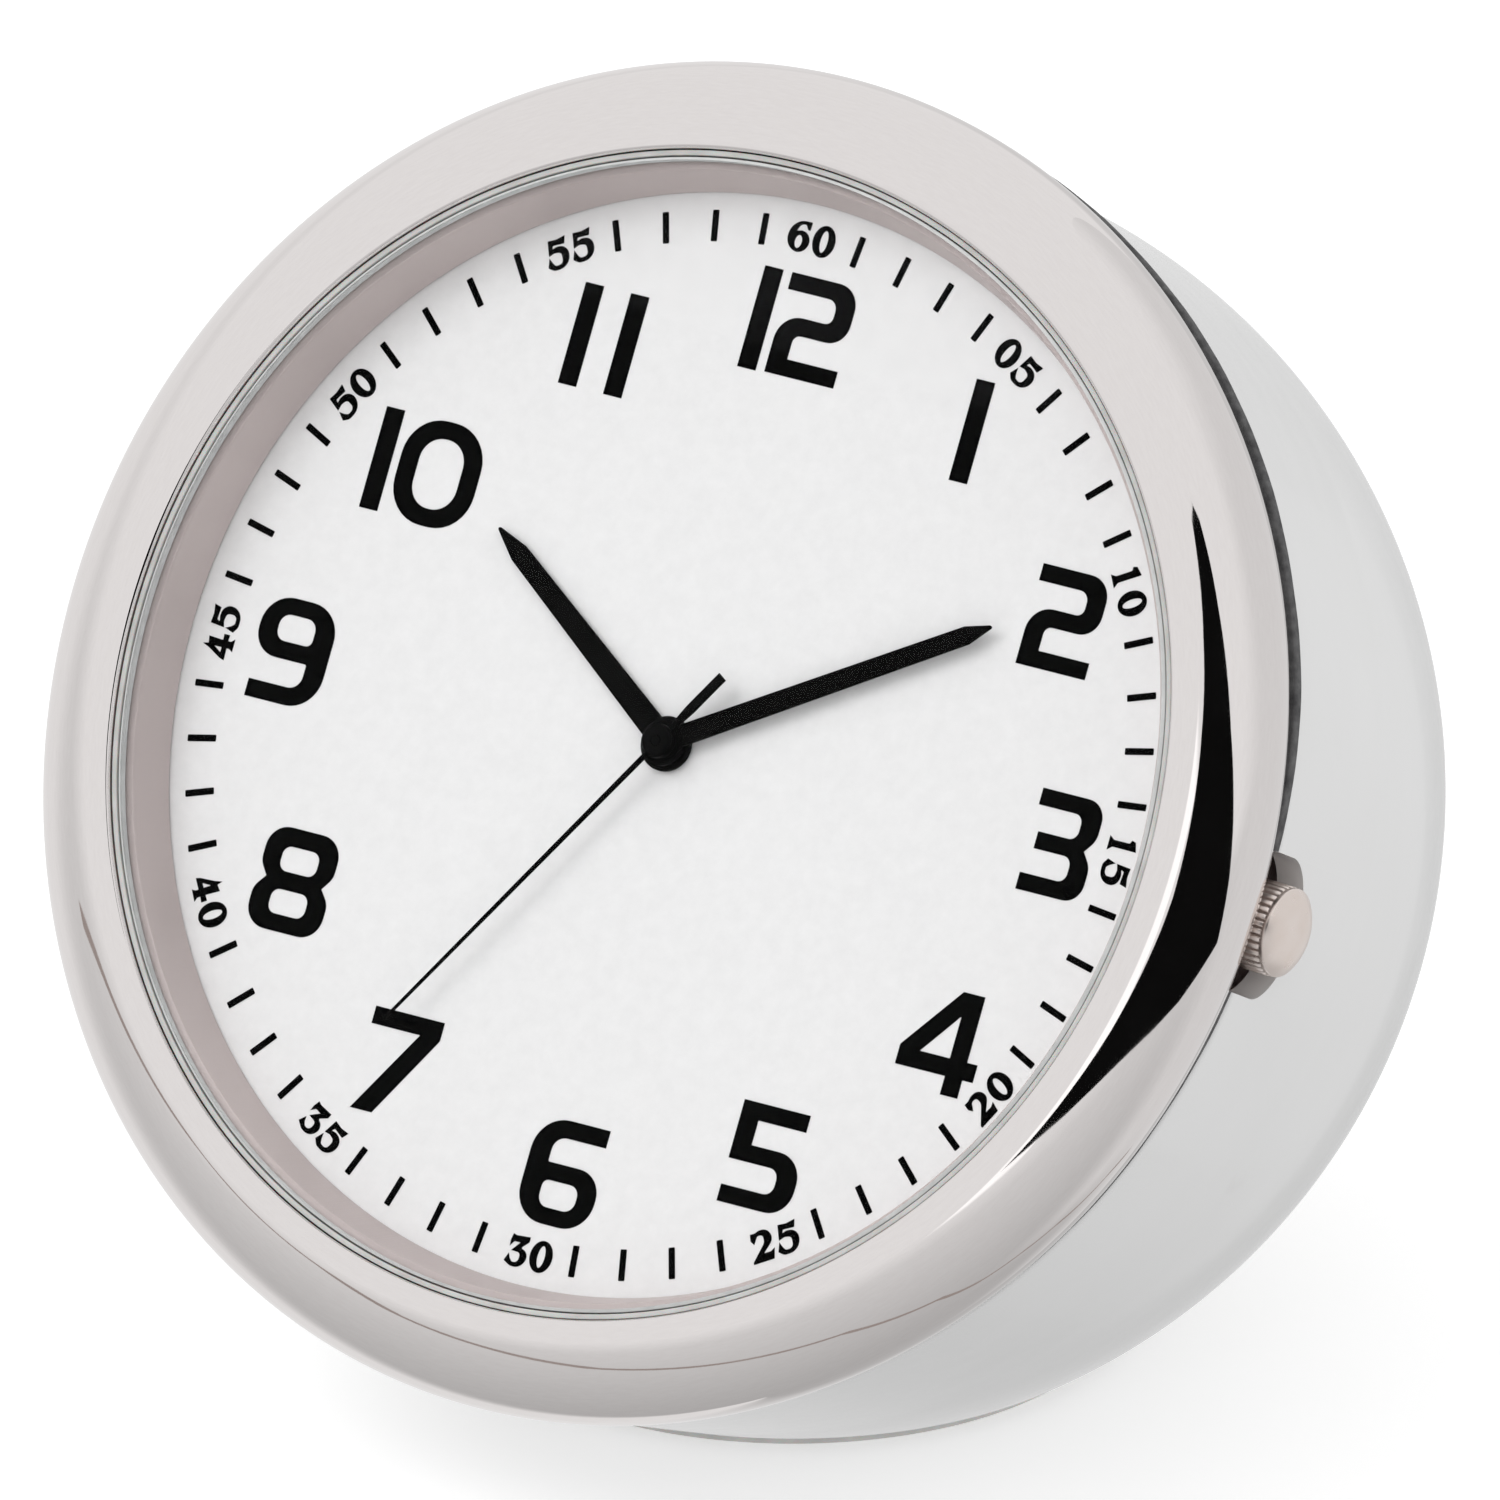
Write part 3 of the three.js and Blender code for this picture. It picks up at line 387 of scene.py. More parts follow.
def black_rubber():
    """Soft matt rubber with a slightly fuzzy skin."""
    look = Finish("black_rubber", Specular_IOR_Level=0.3)
    look.colours(look.noise(0.5, 6), (0.065, 0.064, 0.066), (0.15, 0.149, 0.15))
    look.roughness(look.noise(0.3, 4), 0.65, 0.9)
    look.bump(look.noise(0.14, 5), 0.03)
    return look.material


def clear_rubber():
    """Milky clear rubber, satin, a little cloudy."""
    look = Finish("clear_rubber", Subsurface_Weight=0.3, Subsurface_Scale=0.3 * MM)
    look.colours(look.noise(1.2, 4), (0.56, 0.56, 0.54), (0.68, 0.68, 0.665))
    look.roughness(look.noise(0.6, 4), 0.28, 0.45)
    look.bump(look.noise(0.4), 0.006, 0.6)
    return look.material


def polished_steel():
    """Polished and slightly warm: long shallow waves, hairline marks and a few duller patches."""
    look = Finish("polished_steel", Metallic=1.0)
    look.roughness(look.noise(3.5, 6, rough=0.7), 0.015, 0.045)
    hairlines = look.noise(0.1, 2, look.rings(0.004))
    look.colours(hairlines, (0.79, 0.755, 0.746), (0.81, 0.777, 0.768))
    look.bump(look.noise(6, 1), 0.004, 0.5)
    look.bump(hairlines, 0.0002, 0.5)
    return look.material


def glass():
    """Clear flat glass with a coating against reflections, which lets the lamps through to the dial."""
    clear = (1.0, 1.0, 1.0)
    look = Finish("glass", Base_Color=(*clear, 1), Roughness=0.0, Transmission_Weight=1.0, IOR=1.5,
                  Specular_Tint=(0.02, 0.02, 0.02, 1))
    tree = look.tree
    open_way = add(tree, "ShaderNodeBsdfTransparent", {"Color": (*clear, 1)})
    lamp = add(tree, "ShaderNodeLightPath").outputs["Is Shadow Ray"]
    mixed = add(tree, "ShaderNodeMixShader", {0: lamp, 1: look.surface.outputs[0], 2: open_way.outputs[0]})
    tree.links.new(mixed.outputs[0], tree.nodes["Material Output"].inputs["Surface"])
    return look.material


def ground_glass():
    """The ground edge of the glass, milky and matt."""
    look = Finish("ground_glass", Specular_IOR_Level=0.3)
    look.colours(look.noise(0.8, 4), (0.7, 0.71, 0.705), (0.82, 0.83, 0.825))
    look.roughness(look.noise(0.3), 0.5, 0.7)
    look.bump(look.noise(0.06), 0.004)
    return look.material


def grey_satin():
    """Satin grey inner ring, brushed along its height, in faintly warmer and cooler patches."""
    look = Finish("grey_satin", Metallic=0.12)
    strokes = look.noise(1000, 2, look.round_axis(260, 40))
    look.colours(look.noise(14, 1), (0.52, 0.452, 0.444), (0.58, 0.508, 0.496))
    look.roughness(strokes, 0.42, 0.6)
    look.bump(strokes, 0.004, 0.6)
    return look.material


def dial_white():
    """Matt white print ground with the faint mottle of paper and a rare speck."""
    look = Finish("dial_white", Specular_IOR_Level=0.25)
    mottle = look.noise(0.7, 5, rough=0.65)
    look.colours(mottle, (0.825, 0.825, 0.827), (0.865, 0.865, 0.867))
    look.roughness(look.noise(0.4), 0.65, 0.85)
    look.bump(mottle, 0.008, 0.6)
    return look.material


def black_ink():
    """Flat black ink, a little thin in places."""
    look = Finish("black_ink", Specular_IOR_Level=0.0)
    look.colours(look.noise(0.35, 4), (0.0006, 0.0006, 0.0006), (0.003, 0.003, 0.003), 0.35, 0.8)
    look.roughness(look.noise(0.2), 0.6, 0.8)
    look.bump(look.noise(0.08), 0.002, 0.6)
    return look.material


def black_gloss():
    """Deep black lacquer over stamped metal."""
    look = Finish("black_gloss", Specular_IOR_Level=0.02)
    look.colours(look.noise(0.6, 4), (0.0005, 0.0005, 0.0005), (0.002, 0.002, 0.002))
    look.roughness(look.noise(0.5, 4), 0.3, 0.5)
    look.bump(look.noise(0.3), 0.001, 0.6)
    return look.material


def rose_metal():
    """Pale rose plating, polished on the dome and slightly cloudy."""
    look = Finish("rose_metal", Metallic=1.0)
    look.colours(look.noise(1.1, 2), (0.83, 0.735, 0.68), (0.865, 0.78, 0.735))
    look.roughness(look.noise(0.7, 2), 0.27, 0.33)
    look.bump(look.noise(1.2, 0), 0.0015, 0.4)
    return look.material


def steel():
    """Satin steel with fine turning marks."""
    look = Finish("steel", Metallic=1.0)
    marks = look.noise(0.12, 2, look.rings(0.003))
    look.colours(look.noise(2.5, 4), (0.56, 0.565, 0.575), (0.66, 0.67, 0.68))
    look.roughness(marks, 0.26, 0.42)
    look.bump(marks, 0.002, 0.6)
    return look.material


def brass():
    """Cut brass, lightly tarnished."""
    look = Finish("brass", Metallic=1.0)
    look.colours(look.noise(1.4, 5), (0.6, 0.43, 0.17), (0.78, 0.62, 0.31))
    look.roughness(look.noise(0.4), 0.24, 0.42)
    look.bump(look.noise(0.1, 2, look.rings(0.003)), 0.002, 0.6)
    return look.material


def moulded(name, dark, light, roughness, grain):
    """Moulded plastic with a fine spark-eroded grain."""
    look = Finish(name, Specular_IOR_Level=0.4)
    look.colours(look.noise(3, 4), dark, light)
    look.roughness(look.noise(0.8, 4), roughness - 0.08, roughness + 0.1)
    look.bump(look.noise(grain, 2), 0.012, 0.7)
    return look.material


def copper():
    """Enamelled copper wire wound in close turns along x."""
    look = Finish("copper", Metallic=0.9, Coat_Weight=0.5)
    inputs = {"Vector": look.place, "Scale": 1 / (0.5 * MM), "Distortion": 0.4, "Detail": 1.0}
    turns = add(look.tree, "ShaderNodeTexWave", inputs, bands_direction="X").outputs[1]
    look.colours(turns, (0.36, 0.12, 0.04), (0.68, 0.31, 0.13))
    look.roughness(look.noise(0.4), 0.22, 0.4)
    look.bump(turns, 0.04)
    return look.material


def board_green():
    """Green solder mask, thicker over the copper under it."""
    look = Finish("board_green", Coat_Weight=0.3)
    inputs = {"Vector": look.place, "Scale": 1 / (1.1 * MM)}
    tracks = add(look.tree, "ShaderNodeTexVoronoi", inputs, distance="MANHATTAN").outputs[0]
    look.colours(tracks, (0.03, 0.17, 0.07), (0.014, 0.1, 0.04))
    look.roughness(look.noise(0.5), 0.28, 0.45)
    look.bump(tracks, 0.02)
    return look.material


def magnet():
    """Ground sintered magnet."""
    look = Finish("magnet", Metallic=0.8)
    look.colours(look.noise(0.2, 5), (0.07, 0.07, 0.075), (0.16, 0.16, 0.17))
    look.roughness(look.noise(0.15), 0.4, 0.6)
    look.bump(look.noise(0.06), 0.01)
    return look.material


# Each moulded plastic's darkest and lightest colour, roughness, and size of grain in millimetres.
PLASTICS = {
    "black_plastic": ((0.012, 0.012, 0.013), (0.02, 0.02, 0.021), 0.5, 0.2),
    "natural_plastic": ((0.66, 0.64, 0.57), (0.72, 0.7, 0.64), 0.45, 0.25),
    "nylon": ((0.76, 0.74, 0.66), (0.82, 0.81, 0.74), 0.4, 0.1),
}
FINISHES = (white_gloss, black_rubber, clear_rubber, polished_steel, glass, grey_satin, dial_white,
            black_gloss, rose_metal, steel, brass, copper, board_green, magnet)
LOOKS = {make.__name__: make() for make in FINISHES}
LOOKS.update({slot: moulded(slot, *looks) for slot, looks in PLASTICS.items()})
SLOTS = {part["node"]: part["material_slot"] for part in frame["record"]["subparts"]}
BODY_OF = {node: body for body, nodes in frame["record"]["behaviour"]["bodies"].items() for node in nodes}


def stands_for(made, node):
    """Makes a new piece take a CAD node's place, body and look."""
    made.data.materials.clear()
    made.data.materials.append(LOOKS[SLOTS[node]])
    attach(made, BODY_OF[node])
    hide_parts(node)


# ---- ball and foot
def crown_notch():
    """A tool for the U-shaped notch round the crown, open towards the front."""
    half, behind = NOTCH
    inner, outer = 20, 36  # from well inside the ball's wall to well outside it
    front = 12
    bottom = arc((0, STEM_Z), half, behind, 180, 360, 40)
    points, faces = slab([[*bottom, (half, front), (-half, front)]], inner, outer)
    return solid("notch", ([(z, x, y) for x, y, z in points], faces), IN_CASE)


def sloped(shape, rim):
    """A turned shape whose front follows the ball's sloping rim, and eases back to round behind it."""
    easing = 6
    points = []
    for x, y, z in shape[0]:
        share = min(max((z - rim + easing) / easing, 0), 1)
        points.append((x, y, z - y * RIM_SLOPE * share * share * (3 - 2 * share)))
    return points, shape[1]


def ball_rim():
    """The height of the ball's rim beside the crown, and its greatest distance from the dial's axis."""
    widest = reach("body_shell")[1]
    return extent("body_shell")[1].z - widest * RIM_SLOPE, widest


def body_shell():
    """The ball with its drafted collar, hollow, cut flat under it and notched for the crown."""
    depth = abs(DIAL_CENTRE.y / OUT.y) / MM
    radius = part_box("body_shell")[1].y / MM
    rim, widest = ball_rim()
    draft = (widest - radius) / (depth + rim)
    steps = 72
    lip = 0.35
    past_rim = 4

    def ball(inset_by, front, edge):
        size = radius - inset_by
        outline = arc((0, -depth), size, size, -90, 0, steps)
        end = size + draft * (front + depth)
        outline[0] = (0, outline[0][1])
        corner = rounded([(size, -depth), (end, front, edge), (0, front)], 8)
        return sloped(turned([*outline, *corner[1:]]), rim)

    foot_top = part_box("foot_pad")[1].z / MM + GAP
    shell = sliced(solid("ball_shell", ball(0, rim, lip)), foot_top)
    hollow = sliced(solid("hollow", ball(WALL, rim + past_rim, 0)), foot_top + FLOOR)
    combine(shell, hollow)
    combine(shell, crown_notch())
    stands_for(shell, "body_shell")


def foot_pad():
    """A thin pad with softly rounded edges."""
    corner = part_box("foot_pad")[1]
    radius, top = corner.x / MM, corner.z / MM
    outline = rounded([(0, 0), (radius, 0, 0.12), (radius, top, 0.2), (0, top)])
    stands_for(solid("foot", turned(outline), IN_CLOCK), "foot_pad")


def squeezed(turn):
    """How far the gasket bulges out at an angle in degrees from 3 o'clock: none at 3, full near 2, gone past 12.
    The bulge lays the dark rubber along the upper right edge of the bezel, partly as painted shade of the gap
    between bezel and ball.
    """
    start = min(max((turn - 2) / 18, 0), 1)
    end = min(max((102 - turn) / 60, 0), 1)
    return math.sin(math.pi / 2 * start) * math.sqrt(end)


def rim_gasket():
    """The soft ring between bezel and ball, slightly uneven along its outer edge, and bulging out along the upper
    right into a dark strip that is partly painted shade of the gap there.
    """
    front = extent("rim_gasket")[1].z
    inner = reach("case_can")[1] - 0.9
    rim, widest = ball_rim()
    base = widest - 0.03
    bulge = 0.33
    section = rounded([(inner, front), (inner, rim + GAP), (base, rim + GAP, 0.08), (base, front, 0.14)])
    points, faces = sloped(turned(section), rim)
    uneven = []
    for x, y, z in points:
        turn = math.atan2(y, x)
        swell = 0.012 * math.sin(9 * turn + 1) + 0.01 * math.sin(23 * turn) + 0.006 * math.sin(61 * turn + 2)
        # The bulge along the upper right is partly painted shade: a dark strip standing in for the gap between
        # bezel and ball.
        swell += bulge * squeezed(math.degrees(turn))
        grow = 1 + swell / base if math.hypot(x, y) > inner + 1 else 1
        uneven.append((x * grow, y * grow, front if z > front - GAP / 2 else z))
    ring = solid("rim_seal", (uneven, faces))
    combine(ring, crown_notch())
    stands_for(ring, "rim_gasket")


# ---- bezel, glass and case
def ring_piece(name, node, corners):
    """A turned ring from rounded corners, in place of a CAD node."""
    stands_for(solid(name, turned(rounded(corners))), node)


def bezel():
    """The domed pressing: a quarter ellipse over a side that draws in, and a small lip at the bore."""
    low, high = extent("bezel")
    bore, side = reach("bezel")
    bore_back = -0.2
    crest = bore + 0.75  # where the dome is highest
    shoulder = 0.95  # how high the dome meets the side
    inner_side = side - BEZEL_WALL
    across, up = side - crest, high.z - shoulder
    dome = arc((crest, shoulder), across, up, 0, 90, 56)
    hollow = arc((crest, shoulder), across - BEZEL_WALL, up - BEZEL_WALL, 90, 0, 24)
    bevel_in, bevel_up = 0.08, 0.06
    edge = [(inner_side, low.z), (side - BEZEL_TUCK - bevel_in, low.z)]
    steps = 12
    for step in range(steps):
        down = 1 - step / steps
        edge.append((side - BEZEL_TUCK * down ** 2, shoulder + (low.z + bevel_up - shoulder) * down))
    lip = [(crest, high.z), (bore + 0.08, high.z - 0.03, 0.12), (bore, high.z - 0.18, 0.1),
           (bore, bore_back)]
    back = [(bore, bore_back), (bore + BEZEL_WALL, bore_back)]
    outline = [*edge, *dome, *rounded(lip, 8)[1:-1], *back, *hollow]
    stands_for(solid("bezel_ring", turned(outline), crease=40), "bezel")


def crystal():
    """The glass, with a small ground chamfer round both faces."""
    low, high = extent("crystal")
    radius = reach("crystal")[1]
    chamfer = 0.12
    outline = [(0, low.z), (radius - chamfer, low.z), (radius, low.z + chamfer),
               (radius, high.z - chamfer), (radius - chamfer, high.z), (0, high.z)]
    made = solid("watch_glass", turned(outline), crease=20)
    stands_for(made, "crystal")
    made.data.materials.append(ground_glass())
    # Only the two flat faces stay clear.
    for face in made.data.polygons:
        if abs(face.normal.dot(OUT)) < 0.99:
            face.material_index = 1


def square_ring(name, node, edge):
    """A ring of square section with rounded edges, as far in, out, back and forward as its CAD node."""
    low, high = extent(node)
    inner, outer = reach(node)
    corners = [(inner, low.z, edge), (outer, low.z, edge), (outer, high.z, edge), (inner, high.z, edge)]
    ring_piece(name, node, corners)


def rehaut_ring():
    """The flared wall between dial and glass."""
    low, high = extent("rehaut_ring")
    inner, outer = reach("rehaut_ring")
    ring_piece("inner_ring", "rehaut_ring", [
        (inner, low.z, 0.04), (outer, low.z), (outer, high.z), (inner + 0.6, high.z, 0.06)])


def dial():
    """The dial's disc and the two feet behind it."""
    foot_end = extent("dial")[0].z
    hole, radius = 1, reach("dial")[1]
    back = -0.4
    disc = turned([(hole, back), (radius, back), (radius, 0), (hole, 0)])
    foot_radius, foot_at, foot_angle = 0.35, 13.5, 160
    pegs = []
    for angle in (foot_angle, foot_angle - 180):
        turn = math.radians(angle)
        centre = Vector((foot_at * math.cos(turn), foot_at * math.sin(turn), 0))
        peg, faces = rod(foot_radius, foot_end, back, 32)
        pegs.append(([tuple(Vector(point) + centre) for point in peg], faces))
    stands_for(solid("dial_plate", joined(disc, *pegs), IN_CASE), "dial")


def case_can():
    """The can behind the dial, with its flange and the hole for the stem's tube."""
    low, high = extent("case_can")
    flange = reach("case_can")[1]
    radius = reach("case_back")[1]
    inner = radius - CAN_WALL
    behind = extent("bezel")[0].z
    corners = [(inner, low.z, 0.1), (radius, low.z, 0.25), (radius, behind, 0.2), (flange, behind, 0.1),
               (flange, high.z, 0.1), (inner, high.z, 0.1)]
    can = solid("movement_can", turned(rounded(corners)))
    stem_hole = 1
    combine(can, solid("drill", rod(stem_hole, inner - 1, radius + 1), ALONG_STEM))
    stands_for(can, "case_can")


def case_back():
    """The back plate: a rounded edge, a shallow dish and a spigot that centres it in the can."""
    low, high = extent("case_back")
    radius = reach("case_back")[1]
    front = extent("case_can")[0].z - 0.5
    spigot = radius - CAN_WALL - 0.1
    dish = low.z + 0.12
    ring_piece("back_plate", "case_back", [
        (0, dish), (radius - 3.5, dish, 0.1), (radius - 3.3, low.z, 0.1), (radius, low.z, 0.3),
        (radius, front, 0.08), (spigot, front), (spigot, high.z, 0.08), (0, high.z)])


# ---- hands and crown
def pointing(node):
    """How far a hand reaches and the way it points, in radians clockwise from 12."""
    points = [point.xy for point in points_of(node)]
    longest = max(point.length for point in points)
    ends = [point for point in points if point.length > longest - 0.02]
    tip = sum(ends, Vector((0, 0))) / len(ends)
    return longest, math.atan2(tip.x, tip.y)


def boss(radius, bottom, top, bore=0.0, ring=0.0):
    """A round boss with a chamfered top, bored or marked with a small ring."""
    edge = 0.09
    outer = [(radius, bottom), (radius, top - edge), (radius - edge, top)]
    if bore:
        return turned([(bore, bottom), *outer, (bore + edge / 2, top), (bore, top - edge / 2)], FINE)
    groove = 0.035
    marks = [(ring + groove, top), (ring, top - groove), (ring - groove, top)]
    return turned([(0, bottom), *outer, *marks, (0, top)], FINE)


def hand(name, node, outline, plate, chamfer, hub):
    """A hand cut from a plate of the given bottom and top, chamfered round its top, on its boss."""
    place = IN_HEAD @ Matrix.Rotation(-pointing(node)[1], 4, "Z")
    made = solid(name, slab([outline], *plate, chamfer), place, 20)
    combine(made, solid("boss", boss(**hub), place, 20), "UNION", 20)
    if "bore" in hub:
        drill = rod(hub["bore"], hub["bottom"] - 1, hub["top"] + 1)
        combine(made, solid("drill", drill, place), crease=20)
    stands_for(made, node)


def mirrored(right):
    """The left side of a hand's outline from its right side, from the tip back down."""
    return [(-x, y) for x, y in reversed(right)]


def baton(length, base, end, point):
    """The outline of a baton that narrows a little, then runs straight to a small blunt point."""
    blunt = 0.14
    right = [(base / 2, 0), (end / 2, length - point), (blunt / 2, length - blunt / 3)]
    return [*right, (0, length), *mirrored(right)]


def hands():
    """Hour and minute batons and the seconds needle with its counterpoise."""
    step = 0.05  # from a boss's face back to its plate
    for name, node, widths, point, radius, bore in (
            ("hour_baton", "hour_hand", (1.15, 0.85), 1.5, 1.18, 0.81),
            ("minute_baton", "minute_hand", (0.95, 0.8), 1.2, 1.0, 0.53)):
        low, high = extent(node)
        outline = baton(pointing(node)[0], *widths, point)
        hub = {"radius": radius, "bottom": low.z, "top": high.z, "bore": bore}
        hand(name, node, outline, (low.z + step, high.z - step), 0.04, hub)
    low, high = extent("second_hand")
    right = [(0.225, -3.9), (0.225, -1.9), (0.125, -0.6), (0.065, pointing("second_hand")[0])]
    hub = {"radius": 0.725, "bottom": low.z, "top": high.z, "ring": 0.22}
    thickness = 0.1
    plate = (low.z + step, low.z + step + thickness)
    hand("seconds_needle", "second_hand", [*right, *mirrored(right)], plate, 0.03, hub)


def crown():
    """A rim with rounded flutes under a low dome, with a blind hole for the stem behind."""
    low, high = extent("crown", IN_CASE)
    radius = (high.y - low.y) / 2
    flutes, samples, depth = 36, 8, 0.09
    half_groove = 0.25  # as a share of the flutes' pitch
    bore, bore_depth = 0.5, 1.1
    rim_end = high.x - 0.55
    dome_radius, dome_steps = radius - 0.05, 14
    shares = [math.cos(math.pi / 2 * step / (dome_steps + 1)) for step in range(dome_steps + 1)]
    dome = [(high.x - (high.x - rim_end) * share ** 3, dome_radius * share, 0) for share in shares]
    # Each row is a height, a radius and how much of the flutes' depth it has.
    rows = [(low.x + bore_depth, bore, 0), (low.x, bore, 0), (low.x, radius - 0.2, 0),
            (low.x + 0.1, radius - 0.04, 1), (low.x + 0.18, radius, 1), (rim_end - 0.3, radius, 1),
            (rim_end - 0.24, radius - 0.05, 0), (rim_end - 0.14, radius - 0.03, 0),
            (rim_end - 0.04, radius - 0.03, 0), *dome]
    points, faces = [], []
    count = flutes * samples
    for z, size, share in rows:
        for step in range(count):
            spread = abs(step % samples / samples - 0.5) / half_groove
            groove = depth * share * (0.5 + 0.5 * math.cos(math.pi * spread)) if spread < 1 else 0
            turn = 2 * math.pi * step / count
            points.append(((size - groove) * math.cos(turn), (size - groove) * math.sin(turn), z))
    for first in range(0, len(points) - count, count):
        for step in range(count):
            following = (step + 1) % count
            faces.append([first + step, first + following, first + count + following, first + count + step])
    faces.append(list(range(count)))
    faces.append(list(range(len(points) - count, len(points))))
    stands_for(solid("crown_knob", (points, faces), ALONG_STEM, 45), "crown")


# ---- print on the dial
# Corners are (right, down, radius) in millimetres from a numeral's upper left corner. Each
# numeral is its width and its outlines: the outer one, then its holes.
HOUR_SHAPES = {
    "0": (3.93, [
        [(0, 0, 1.75), (3.93, 0, 1.75), (3.93, 4.55, 1.75), (0, 4.55, 1.75)],
        [(0.88, 0.76, 1.02), (3.05, 0.76, 1.02), (3.05, 3.79, 1.02), (0.88, 3.79, 1.02)]]),
    "1": (0.9, [[(0, 0), (0.9, 0), (0.9, 4.42), (0, 4.42)]]),
    "2": (3.4, [
        [(0.02, 0), (3.4, 0, 1), (3.4, 2.56, 0.95), (0.9, 2.56, 0.35), (0.9, 3.63), (3.4, 3.63),
         (3.4, 4.36), (0, 4.36), (0, 1.8, 1.1), (2.51, 1.8, 0.35), (2.51, 0.74, 0.45), (0.02, 0.74)]]),
    "3": (3.12, [
        [(0, 0), (3.12, 0, 0.85), (3.12, 1.62, 0.9), (2.67, 2.2), (3.12, 2.78, 0.9), (3.12, 4.4, 0.85),
         (0, 4.4), (0, 3.67), (2.2, 3.67, 0.4), (2.2, 2.57, 0.4), (0.32, 2.57), (0.32, 1.83),
         (2.2, 1.83, 0.4), (2.2, 0.73, 0.4), (0, 0.73)]]),
    "4": (3.82, [
        [(2.26, 0), (3.31, 0), (3.31, 2.85), (3.82, 2.85), (3.82, 3.62), (3.31, 3.62), (3.31, 4.42),
         (2.46, 4.42), (2.46, 3.62), (0, 3.62), (0, 2.77)],
        [(2.46, 1.02), (2.46, 2.85), (0.98, 2.85)]]),
    "5": (3.46, [
        [(0, 0), (3.25, 0), (3.25, 0.74), (0.9, 0.74), (0.9, 1.81), (3.46, 1.81, 1.15),
         (3.46, 4.43, 1.15), (0, 4.43), (0, 3.69), (2.49, 3.69, 0.45), (2.49, 2.55, 0.45), (0, 2.55)]]),
    "6": (3.66, [
        [(0, 0, 1.5), (3.47, 0), (3.47, 0.76), (0.97, 0.76, 0.6), (0.97, 1.88, 0.08), (3.66, 1.88, 1.1),
         (3.66, 4.5, 1.35), (0, 4.5, 1.4)],
        [(0.98, 2.63, 0.3), (2.77, 2.63, 0.45), (2.77, 3.78, 0.5), (0.98, 3.78, 0.5)]]),
    "7": (3.4, [[(0, 0), (3.4, 0), (3.4, 0.8), (1.15, 4.42), (0.09, 4.42), (2.41, 0.76), (0, 0.76)]]),
    "8": (3.67, [
        [(0.05, 0, 1), (3.62, 0, 1), (3.62, 1.66, 0.8), (3.2, 2.23), (3.67, 2.8, 0.8), (3.67, 4.43, 1),
         (0, 4.43, 1), (0, 2.8, 0.8), (0.47, 2.23), (0.05, 1.66, 0.8)],
        [(0.93, 0.79, 0.4), (2.74, 0.79, 0.4), (2.74, 1.87, 0.4), (0.93, 1.87, 0.4)],
        [(0.93, 2.64, 0.4), (2.74, 2.64, 0.4), (2.74, 3.7, 0.4), (0.93, 3.7, 0.4)]]),
}
HOUR_SHAPES["9"] = HOUR_SHAPES["6"]  # a nine is a six turned round
HOUR_HEIGHT = 4.42
HOUR_GAPS = {"10": 0.38, "11": 1.34, "12": 0.42}
HOUR_RADIUS = 18.4
# How far each hour numeral is printed off its place, to the right and up.
HOUR_NUDGES = {
    1: (0.7, 0), 2: (0.65, -0.1), 3: (0.95, -0.05), 4: (0.5, 0), 5: (0.63, 0.08), 6: (0.7, -0.19),
    7: (0.78, 0), 8: (0.38, -0.34), 9: (-0.28, -0.2), 10: (1.09, -0.48), 11: (0.92, -0.06), 12: (0.59, 0)
}

